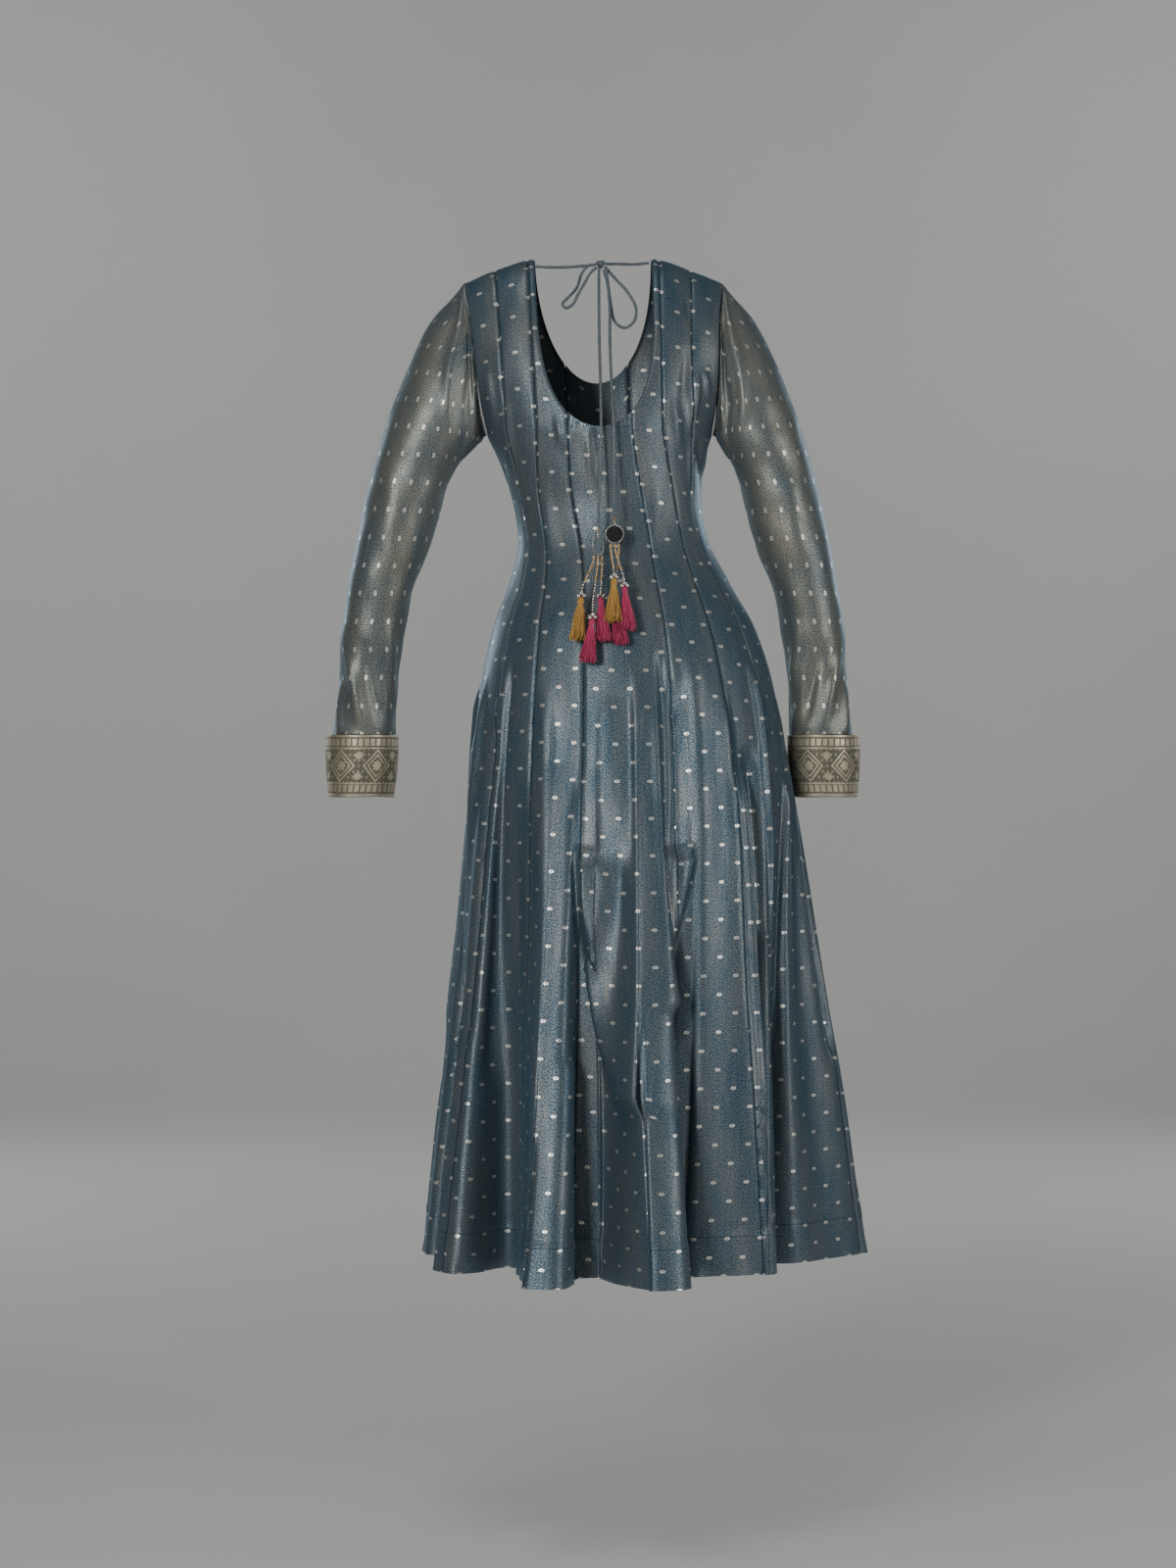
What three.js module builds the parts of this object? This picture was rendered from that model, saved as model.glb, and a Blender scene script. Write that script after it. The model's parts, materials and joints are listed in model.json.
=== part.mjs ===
// An anarkali gown, as it stands when it is worn: a long panelled dress with no waist seam. Fourteen kalis,
// the tapered panels of its cut, run from the shoulders to the hem and fall into deep flutes below the hips.
// It has a deep U-shaped back neck closed by a tied cord, the dori, with beaded tassels, and two long
// sleeves that end in brocade cuffs.
//
// Millimetres, +Z up. -Y is the wearer's back and +X the wearer's right side. The origin is the middle of
// the neck at the height of the shoulders, which is where the wearer carries the gown.

import * as THREE from "three";

// ---- Driving dimensions ----

const CLOTH = 1.5; // wall of the kalis and sleeves
const CUFF_CLOTH = 2.2; // wall of the doubled brocade cuffs
const SEAM_GAP = 0.5; // clear space between two pieces that are sewn together
const ARMPIT_Z = -212; // level of the armpits: rings below it, the yoke above it
const HEM_Z = -1195;
const HEM_DROOP = 9; // how much lower the hem hangs at the back than at the front
const NECK_HALF = 70; // half the width of the neck at the shoulders
const SHOULDER_TIP = 153; // from the middle of the neck to the armhole seam on the shoulder
const SHOULDER_DROP = 28; // how far the shoulder falls from neck to tip
const DORI = 3.6; // diameter of the tie cord

// Level rings of the gown's form from armpits to hem: middle, half width, and depth to back and front.
const FORM = [
  { z: ARMPIT_Z, middle: 8, half: 135, back: 92, front: 122 },
  { z: -256, middle: 12, half: 120, back: 85, front: 112 },
  { z: -300, middle: 18, half: 113, back: 78, front: 92 },
  { z: -345, middle: 26, half: 116, back: 82, front: 88 },
  { z: -390, middle: 32, half: 133, back: 95, front: 92 },
  { z: -440, middle: 37, half: 157, back: 110, front: 98 },
  { z: -520, middle: 42, half: 177, back: 121, front: 108 },
  { z: -640, middle: 45, half: 189, back: 134, front: 126 },
  { z: -820, middle: 48, half: 197, back: 152, front: 148 },
  { z: -1010, middle: 51, half: 207, back: 171, front: 170 },
  { z: HEM_Z, middle: 53, half: 215, back: 190, front: 190 },
];

// Seams between kalis, in degrees from the middle of the back (or front) to the side seam at 90.
const SEAMS = [
  { z: ARMPIT_Z, inner: 16.5, middle: 34, outer: 55 },
  { z: -300, inner: 21.8, middle: 45.8, outer: 65 },
  { z: -420, inner: 18, middle: 40, outer: 61 },
  { z: -520, inner: 17, middle: 38.5, outer: 62 },
  { z: HEM_Z, inner: 17, middle: 39, outer: 64 },
];
const SEAM_AT_SHOULDER = { middle: 79, outer: 118 }; // distance of a seam from the neck's middle, at its top

// Flutes of the skirt, round from the middle of the back: how far the cloth stands out from the form at the
// hem, or sinks in, and the level at which the flute begins.
const FLUTES = [
  { angle: -165, rise: -45, from: -620 },
  { angle: -145, rise: 48, from: -640 },
  { angle: -124, rise: -50, from: -600 },
  { angle: -103, rise: 52, from: -560 },
  { angle: -84, rise: -50, from: -640 },
  { angle: -66, rise: 50, from: -600 },
  { angle: -47, rise: -46, from: -620 },
  { angle: -28, rise: 70, from: -600 },
  { angle: -13, rise: -36, from: -760 },
  { angle: 2, rise: 58, from: -640 },
  { angle: 21, rise: -52, from: -700 },
  { angle: 46, rise: -8, from: -560 },
  { angle: 70, rise: -58, from: -640 },
  { angle: 96, rise: 66, from: -520 },
  { angle: 118, rise: -48, from: -620 },
  { angle: 138, rise: 46, from: -600 },
  { angle: 157, rise: -44, from: -640 },
  { angle: 176, rise: 50, from: -600 },
];
const FLUTE_CURL = 9; // how far a crest's flanks lean over the troughs beside it, at the hem

// Necklines: depth, and the exponents of the curve from the shoulder to the lowest point.
const NECK = {
  back: { depth: 210, across: 2, down: 3.9 },
  front: { depth: 135, across: 2, down: 2 },
};

// Rows of the yoke, in degrees from the armpit level at 0 to the shoulder ridge at 90. There are as many
// above and below the corner, where the inner seam meets the neckline, as each side of the armhole needs.
const YOKE_ROWS = {
  back: { below: [], above: [12, 20, 30, 42, 55, 71, 90] },
  front: { below: [8, 16], above: [40, 52, 64, 77, 90] },
};

// Sections of the right sleeve: the outer and inner edge seen from behind, half the depth, and how far
// forward the arm has swung.
const SLEEVE = [
  { outerX: 170, outerZ: -46, innerX: 149, innerZ: -216, depth: 45, forward: 3 },
  { outerX: 198, outerZ: -79, innerX: 153, innerZ: -223, depth: 50, forward: 3 },
  { outerX: 222, outerZ: -130, innerX: 159, innerZ: -233, depth: 52, forward: 3 },
  { outerX: 244, outerZ: -184, innerX: 168, innerZ: -246, depth: 51, forward: 4 },
  { outerX: 260, outerZ: -234, innerX: 175, innerZ: -264, depth: 48, forward: 6 },
  { outerX: 275, outerZ: -288, innerX: 182, innerZ: -294, depth: 46, forward: 8 },
  { outerX: 288, outerZ: -350, innerX: 197, innerZ: -346, depth: 43, forward: 12 },
  { outerX: 297, outerZ: -402, innerX: 217, innerZ: -396, depth: 40, forward: 17 },
  { outerX: 305, outerZ: -455, innerX: 229, innerZ: -457, depth: 38, forward: 24 },
  { outerX: 308, outerZ: -512, innerX: 237, innerZ: -512, depth: 37, forward: 32 },
  { outerX: 316, outerZ: -571, innerX: 239, innerZ: -571, depth: 39, forward: 40 },
];
const CUFF = [
  { outerX: 324, outerZ: -572, innerX: 236, innerZ: -572, depth: 43, forward: 40 },
  { outerX: 325, outerZ: -608, innerX: 237, innerZ: -608, depth: 43, forward: 42 },
  { outerX: 322, outerZ: -646, innerX: 242, innerZ: -646, depth: 40, forward: 44 },
];

const COLOURS = { cloth: 0x3f6275, cuff: 0x9a9178, dori: 0x5a7384, magenta: 0xc2305f, mustard: 0xc08a2e };

// ---- The gown's form ----

const radians = (degrees) => (degrees * Math.PI) / 180;

// A column of a table at level z, on a smooth curve through its rows.
function smoothAt(table, column, z) {
  const rows = table.length - 1;
  let i = 0;
  while (i < rows - 1 && z < table[i + 1].z) i += 1;
  const slope = (k) => {
    const a = table[Math.max(k - 1, 0)];
    const b = table[Math.min(k + 1, rows)];
    return (b[column] - a[column]) / (b.z - a.z);
  };
  const step = table[i + 1].z - table[i].z;
  const t = (z - table[i].z) / step;
  const start = (1 + 2 * t) * (1 - t) ** 2 * table[i][column] + t * (1 - t) ** 2 * step * slope(i);
  return start + t * t * (3 - 2 * t) * table[i + 1][column] + t * t * (t - 1) * step * slope(i + 1);
}

// How far the cloth stands out at an angle and level, and how far it leans sideways there.
function flute(angle, z) {
  const count = FLUTES.length;
  const turned = (((angle - FLUTES[0].angle) % 360) + 360) % 360;
  let i = count - 1;
  while (i > 0 && FLUTES[i].angle - FLUTES[0].angle > turned) i -= 1;
  const here = FLUTES[i];
  const next = FLUTES[(i + 1) % count];
  const span = (((next.angle - here.angle) % 360) + 360) % 360;
  const t = (turned - (here.angle - FLUTES[0].angle)) / span;
  const grown = (row) => row.rise * Math.max(0, (row.from - z) / (row.from - HEM_Z));
  const ease = t * t * (3 - 2 * t);
  const low = Math.min(z - ARMPIT_Z, 0) / (HEM_Z - ARMPIT_Z);
  const lean = Math.sin(2 * Math.PI * t) * FLUTE_CURL * low ** 3 * Math.sign(here.rise - next.rise);
  return { out: grown(here) * (1 - ease) + grown(next) * ease, lean };
}

// Height of the shoulder ridge at a distance from the neck's middle.
function ridge(x) {
  const along = Math.max(0, Math.abs(x) - NECK_HALF) / (SHOULDER_TIP - NECK_HALF);
  return -SHOULDER_DROP * along ** 1.3;
}

const BELOW_RIDGE = 86; // a yoke row close under the shoulder ridge

// Half width and middle of the yoke at a row.
function yoke(row) {
  const up = Math.sin(radians(row));
  const half = FORM[0].half + (SHOULDER_TIP - FORM[0].half) * up + 29 * Math.sin(radians(2 * row));
  return { half, middle: FORM[0].middle * (1 - up) };
}

// A point of the gown's outer surface. The angle runs from 0 at the middle of the back through 90 at the
// wearer's right side. A level of 0 or less is a height below the armpits, and one above 0 is a yoke row.
function formPoint(angle, level) {
  const turn = radians(angle);
  const isBack = Math.cos(turn) >= 0;
  if (level > 0) {
    const { half, middle } = yoke(level);
    const x = middle + half * Math.sin(turn);
    const depth = (isBack ? FORM[0].back : FORM[0].front) * Math.cos(radians(level)) ** 0.85;
    const z = ARMPIT_Z + (ridge(x) - ARMPIT_Z) * Math.sin(radians(level));
    return new THREE.Vector3(x, -depth * Math.cos(turn), z);
  }
  const z = ARMPIT_Z + level;
  const half = smoothAt(FORM, "half", z);
  const depth = smoothAt(FORM, isBack ? "back" : "front", z);
  const normal = new THREE.Vector2(Math.sin(turn) / half, -Math.cos(turn) / depth).normalize();
  const { out, lean } = flute(angle, z);
  return new THREE.Vector3(
    smoothAt(FORM, "middle", z) + half * Math.sin(turn) + normal.x * out - normal.y * lean,
    -depth * Math.cos(turn) + normal.y * out + normal.x * lean,
    z - ((1 + Math.cos(turn)) / 2) * HEM_DROOP * (level / (HEM_Z - ARMPIT_Z)),
  );
}

// The outward direction of the form at a point. Along the ridge, where back and front meet edge to edge, it
// is taken from the cloth just below and leans to neither side.
function formNormal(angle, level) {
  const near = Math.min(level, BELOW_RIDGE);
  const across = formPoint(angle + 0.5, near).sub(formPoint(angle - 0.5, near));
  const up = formPoint(angle, near + 1).sub(formPoint(angle, near - 1));
  const normal = across.cross(up);
  if (level > BELOW_RIDGE) normal.y = 0;
  return normal.normalize();
}

// ---- Seams and edges, as angles on the right half of the back or front ----

// The angle at a distance from a yoke row's middle.
const angleAt = (distance, row) => (Math.asin(Math.min(1, distance / yoke(row).half)) * 180) / Math.PI;

function seamAngle(seam, level) {
  if (level <= 0) return smoothAt(SEAMS, seam, ARMPIT_Z + level);
  const start = FORM[0].half * Math.sin(radians(SEAMS[0][seam]));
  const end = SEAM_AT_SHOULDER[seam] ?? start;
  return angleAt(start + (end - start) * Math.sin(radians(level)), level);
}

// Where a yoke row meets the neckline.
function neckAngle(side, row) {
  const { depth, across, down } = NECK[side];
  const sunk = Math.min(1, (-ARMPIT_Z * (1 - Math.sin(radians(row)))) / depth);
  return angleAt(NECK_HALF * (1 - sunk ** down) ** (1 / across), row);
}

// The row, between 0 and 90, at which the neckline comes out as far as an angle, fixed or for each row.
function neckRow(side, angle) {
  let low = 0;
  let high = 90;
  for (let k = 0; k < 40; k += 1) {
    const row = (low + high) / 2;
    if (neckAngle(side, row) <= angle(row)) low = row;
    else high = row;
  }
  return low;
}

const CORNER = {
  back: neckRow("back", (row) => seamAngle("inner", row)),
  front: neckRow("front", (row) => seamAngle("inner", row)),
};
const yokeLevels = (side) => [...YOKE_ROWS[side].below, CORNER[side], ...YOKE_ROWS[side].above];

const armholeAngle = (row) => 90 - 32 * Math.abs(Math.sin(radians(2 * row))) ** 0.6;

// The two edges of a kali on the right half, from its inner seam or neckline to its outer seam or armhole.
const EDGES = {
  neck: {
    from: (level, side) => (level > CORNER[side] ? neckAngle(side, level) : seamAngle("inner", level)),
    to: (level) => seamAngle("middle", level),
    columns: 5,
  },
  shoulder: {
    from: (level) => seamAngle("middle", level),
    to: (level) => seamAngle("outer", level),
    columns: 5,
  },
  side: {
    from: (level) => seamAngle("outer", level),
    to: (level) => (level > 0 ? armholeAngle(level) : 90),
    columns: 7,
  },
};
const CENTRE_COLUMNS = 8;

// ---- Walls ----

// A closed wall between an outer and an inner grid of points. A tube's columns close on themselves. Both
// faces of the wall are split along the same diagonals, so that it keeps its thickness where it twists.
function wall(outer, inner, isTube) {
  const rows = outer.length;
  const columns = outer[0].length;
  const points = [...outer.flat(), ...inner.flat()];
  const faces = [];
  const quad = (a, b, c, d) => faces.push([a, b, c], [a, c, d]);
  const at = (side, i, j) => side * rows * columns + i * columns + (j % columns);
  const lastColumn = isTube ? columns : columns - 1;
  for (let i = 0; i < rows - 1; i += 1)
    for (let j = 0; j < lastColumn; j += 1) {
      quad(at(0, i, j), at(0, i, j + 1), at(0, i + 1, j + 1), at(0, i + 1, j));
      quad(at(1, i, j), at(1, i + 1, j), at(1, i + 1, j + 1), at(1, i, j + 1));
    }
  for (let j = 0; j < lastColumn; j += 1) {
    quad(at(1, 0, j), at(1, 0, j + 1), at(0, 0, j + 1), at(0, 0, j));
    quad(at(0, rows - 1, j), at(0, rows - 1, j + 1), at(1, rows - 1, j + 1), at(1, rows - 1, j));
  }
  for (let i = 0; i < rows - 1 && !isTube; i += 1) {
    quad(at(0, i, 0), at(0, i + 1, 0), at(1, i + 1, 0), at(1, i, 0));
    quad(at(1, i, columns - 1), at(1, i + 1, columns - 1), at(0, i + 1, columns - 1), at(0, i, columns - 1));
  }
  const volume = faces.reduce((sum, [a, b, c]) => {
    const normal = new THREE.Vector3().crossVectors(points[b], points[c]);
    return sum + points[a].dot(normal);
  }, 0);
  const facing = volume < 0 ? faces.map(([a, b, c]) => [a, c, b]) : faces;
  const geometry = new THREE.BufferGeometry().setFromPoints(points);
  geometry.setIndex(facing.flat());
  geometry.computeVertexNormals();
  return geometry;
}

function piece(name, geometry, color, roughness = 0.5, metalness = 0) {
  const mesh = new THREE.Mesh(geometry, new THREE.MeshStandardMaterial({ color, roughness, metalness }));
  mesh.name = name;
  return mesh;
}

// ---- Kalis ----

// A panel from two edges. Each row of the grid is { from, to, level }, with level a number or a function of
// the angle. Its side edges are set in by half a seam gap, and the back and front keep a whole one apart.
function kali(name, side, rows, columns) {
  const outer = [];
  const inner = [];
  for (const { from, to, level } of rows) {
    const inset = (share) => {
      const angle = from + (to - from) * share;
      const height = typeof level === "function" ? level(angle) : level;
      const perDegree = formPoint(angle + 0.5, height).distanceTo(formPoint(angle - 0.5, height));
      const span = Math.abs(to - from) * perDegree;
      return { angle: angle + ((0.5 - share) * SEAM_GAP * (to - from)) / Math.max(span, 1), height };
    };
    const line = Array.from({ length: columns + 1 }, (_, j) => inset(j / columns));
    const shift = side === "back" ? -SEAM_GAP / 2 : SEAM_GAP / 2;
    const place = ({ angle, height }, sunk) => {
      const point = formPoint(angle, height).addScaledVector(formNormal(angle, height), -sunk);
      point.y += shift;
      return point;
    };
    outer.push(line.map((spot) => place(spot, 0)));
    inner.push(line.map((spot) => place(spot, CLOTH)));
  }
  return piece(name, wall(outer, inner, false), COLOURS.cloth);
}

// An angle on the right half of a side, turned to the gown's own angle.
function turned(angle, side, hand) {
  return hand * (side === "back" ? angle : 180 - angle);
}

const BODY_LEVELS = FORM.map(({ z }) => z - ARMPIT_Z).reverse();

function sideKalis(side, hand, label) {
  return Object.entries(EDGES).map(([part, edge]) => {
    const levels = [...BODY_LEVELS, ...yokeLevels(side)];
    const rows = levels.map((level) => ({
      from: turned(edge.from(level, side), side, hand),
      to: turned(edge.to(level), side, hand),
      level,
    }));
    return kali(`${side}_${part}_kali_${label}`, side, rows, edge.columns);
  });
}

function centreKali(side) {
  const row = (level) => ({
    from: turned(-seamAngle("inner", level), side, 1),
    to: turned(seamAngle("inner", level), side, 1),
    level,
  });
  const offCentre = (angle) => (Math.asin(Math.abs(Math.sin(radians(angle)))) * 180) / Math.PI;
  const neckline = { ...row(CORNER[side]), level: (angle) => neckRow(side, () => offCentre(angle)) };
  const rows = [...BODY_LEVELS, ...YOKE_ROWS[side].below].map(row);
  return kali(`${side}_centre_kali`, side, [...rows, neckline], CENTRE_COLUMNS);
}

// ---- Sleeves and cuffs ----

// The armhole's edge: from the shoulder tip down the back to the armpit, and up the front, with a point
// halfway between each two rows.
function armhole(hand) {
  const down = [0, ...yokeLevels("back")].reverse().map((row) => ["back", row]);
  const up = yokeLevels("front").slice(0, -1).map((row) => ["front", row]);
  const corners = [...down, ...up].map(([side, row]) => {
    const point = formPoint(turned(armholeAngle(row), side, hand), row);
    point.x += hand * SEAM_GAP * 1.5;
    return point;
  });
  const next = (k) => corners[(k + 1) % corners.length];
  return corners.flatMap((corner, k) => [corner, corner.clone().lerp(next(k), 0.5)]);
}

function sleeveRing(section, hand, count, armpitShift) {
  const outer = new THREE.Vector3(hand * section.outerX, section.forward, section.outerZ);
  const inner = new THREE.Vector3(hand * section.innerX + armpitShift, section.forward, section.innerZ);
  const middle = outer.clone().add(inner).multiplyScalar(0.5);
  const reach = outer.clone().sub(middle);
  return Array.from({ length: count }, (_, j) => {
    const turn = (2 * Math.PI * j) / count;
    const point = middle.clone().addScaledVector(reach, Math.cos(turn));
    point.y -= section.depth * Math.sin(turn);
    return point;
  });
}

// The rings again, each point moved towards its ring's middle by the wall.
function sunkRings(rings, thickness) {
  return rings.map((ring) => {
    const middle = ring.reduce((sum, p) => sum.add(p), new THREE.Vector3()).divideScalar(ring.length);
    return ring.map((p) => p.clone().add(middle.clone().sub(p).setLength(thickness)));
  });
}

function sleeve(hand, label) {
  const first = armhole(hand);
  const armpitShift = hand < 0 ? 2 * FORM[0].middle : 0;
  const rings = SLEEVE.map((section, k) => {
    const fade = Math.max(0, 1 - k / 5);
    return sleeveRing(section, hand, first.length, armpitShift * fade);
  });
  const all = [first, ...rings];
  return piece(`sleeve_${label}`, wall(all, sunkRings(all, CLOTH), true), COLOURS.cloth);
}

function cuff(hand, label) {
  const rings = CUFF.map((section) => sleeveRing(section, hand, 16, 0));
  return piece(`cuff_${label}`, wall(rings, sunkRings(rings, CUFF_CLOTH), true), COLOURS.cuff, 0.4, 0.4);
}

// ---- Dori: the tie cord across the back of the neck ----

// Routes of the cord's stretches. Each starts and ends just clear of the knot or the neckline.
const KNOT = { x: 9, y: -50, z: -13, radius: 5.2 };
const DORI_ROUTES = {
  band_left: [[-68.5, -31, -13], [-45, -38, -15], [-20, -44, -15], [3, -48.5, -13.5]],
  band_right: [[66.5, -31, -9], [48, -38, -11.5], [30, -44, -12], [15, -48.5, -12.8]],
  loop_left: [
    [3.4, -52, -14], [-6, -55, -16], [-14, -57, -27], [-19, -59, -42], [-30, -60, -55], [-36, -61, -62],
    [-32, -63, -67], [-24, -64, -63], [-17, -64, -50], [-9, -63, -36], [-3, -60, -25], [4, -55.5, -18],
  ],
  loop_right: [
    [14.2, -53, -16.5], [27, -57, -32], [41, -60, -48], [51, -62, -68], [48, -64, -84], [37, -66, -91],
    [26, -67, -84], [21.5, -66, -66], [18, -62, -42], [13, -56.5, -20.5],
  ],
  tail_left: [[7, -57, -19.5], [7, -68, -55], [7.5, -80, -110], [9, -95, -168], [9.5, -101, -206],
    [9, -103, -255], [5.6, -108, -330]],
  tail_right: [[16, -61, -21.5], [19.5, -73, -62], [20, -84, -112], [22, -97, -168], [24, -103, -206],
    [25, -104, -255], [25.2, -109, -316.5]],
};

function cord(name, route, steps) {
  const path = new THREE.CatmullRomCurve3(route.map((p) => new THREE.Vector3(...p)));
  const section = new THREE.Shape(
    Array.from({ length: 8 }, (_, k) => {
      const turn = (k * Math.PI) / 4;
      return new THREE.Vector2(Math.cos(turn), Math.sin(turn)).multiplyScalar(DORI / 2);
    }),
  );
  return piece(name, new THREE.ExtrudeGeometry(section, { steps, extrudePath: path }), COLOURS.dori, 0.7);
}

function dori() {
  const knot = piece("dori_knot", new THREE.SphereGeometry(KNOT.radius, 12, 8), COLOURS.dori, 0.7);
  knot.position.set(KNOT.x, KNOT.y, KNOT.z);
  const steps = { band: 8, loop: 22, tail: 26 };
  const cords = Object.entries(DORI_ROUTES).map(([stretch, route]) =>
    cord(`dori_${stretch}`, route, steps[stretch.split("_")[0]]),
  );
  return [knot, ...cords];
}

// ---- Latkans: the beaded tassels at the cord's ends ----

const MIRROR = { radius: 11, thickness: 3 };
const STEM = { radius: 2.2, length: 10 };
const STRING_RADIUS = 1.5;
const TASSEL = { head: 3.6, neck: 2.4, skirt: 6, length: 54 };
const LATKAN_TILT = 7; // degrees off plumb, because the tassels lie on the cloth over the hips

// Where each latkan hangs, how far its mirror is turned from facing back, and what hangs below the mirror.
const LATKANS = {
  left: {
    x: 5.6, y: -108.2, z: -330.6, turn: 52,
    strings: [{ x: -5, length: 31 }, { x: 0, length: 34 }, { x: 5, length: 31 }],
    tassels: [
      { x: -19.5, forward: 6, drop: 84, tilt: -5 },
      { x: -6.5, forward: 10, drop: 110, tilt: -6 },
      { x: 3.5, forward: 4, drop: 84, tilt: 4 },
    ],
  },
  right: {
    x: 25.2, y: -109.2, z: -317.1, turn: 0,
    strings: [{ x: -5, length: 28 }, { x: 0, length: 31 }, { x: 5, length: 28 }],
    tassels: [
      { x: -0.8, forward: 14, drop: 77, tilt: -1 },
      { x: 11.5, forward: 8, drop: 86, tilt: 5 },
      { x: 0.5, forward: 0, drop: 101, tilt: 8 },
    ],
  },
};
const TASSEL_COLOURS = [COLOURS.mustard, COLOURS.magenta, COLOURS.magenta];

function lathe(profile, segments) {
  return new THREE.LatheGeometry(profile.map(([r, z]) => new THREE.Vector2(r, z)), segments);
}

function latkan(label, plan) {
  const group = new THREE.Group();
  group.position.set(plan.x, plan.y, plan.z);
  group.rotation.x = -radians(LATKAN_TILT);
  const add = (name, geometry, place, turn, colour, metalness) => {
    const mesh = piece(`latkan_${label}_${name}`, geometry, colour, 0.35, metalness);
    mesh.position.set(...place);
    mesh.rotation.set(...turn);
    group.add(mesh);
  };
  const upright = Math.PI / 2;
  const stem = lathe([[0, 0], [STEM.radius, 1.5], [STEM.radius, STEM.length - 1.5], [0, STEM.length]], 10);
  add("stem", stem, [0, 0, -STEM.length - 0.4], [upright, 0, 0], 0xb9a58a, 0.8);
  const disc = new THREE.CylinderGeometry(MIRROR.radius, MIRROR.radius, MIRROR.thickness, 24);
  const mirrorZ = -STEM.length - 0.8 - MIRROR.radius;
  add("mirror", disc, [0, 0, mirrorZ], [0, 0, radians(plan.turn)], 0x8f979c, 0.9);
  const stringTop = mirrorZ - MIRROR.radius - 0.6;
  plan.strings.forEach(({ x, length }, k) => {
    const string = new THREE.CylinderGeometry(STRING_RADIUS, STRING_RADIUS, length, 8);
    add(`string_${k + 1}`, string, [x, 0, stringTop - length / 2], [upright, 0, 0], 0xb08a55, 0.8);
  });
  plan.tassels.forEach(({ x, forward, drop, tilt }, k) => {
    const { head, neck, skirt, length } = TASSEL;
    const profile = [
      [0, -length], [skirt, -length], [neck + 2, -13], [neck, -8], [head, -6], [head, -3], [0, 0],
    ];
    const turn = [upright, 0, radians(tilt)];
    add(`tassel_${k + 1}`, lathe(profile, 12), [x, -forward, -drop], turn, TASSEL_COLOURS[k], 0);
  });
  return group;
}

// ---- The gown ----

const gown = new THREE.Group();
for (const side of ["back", "front"]) {
  gown.add(centreKali(side));
  gown.add(...sideKalis(side, 1, "right"), ...sideKalis(side, -1, "left"));
}
gown.add(sleeve(1, "right"), sleeve(-1, "left"), cuff(1, "right"), cuff(-1, "left"));
gown.add(...dori());
for (const [label, plan] of Object.entries(LATKANS)) gown.add(latkan(label, plan));

export default gown;
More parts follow.
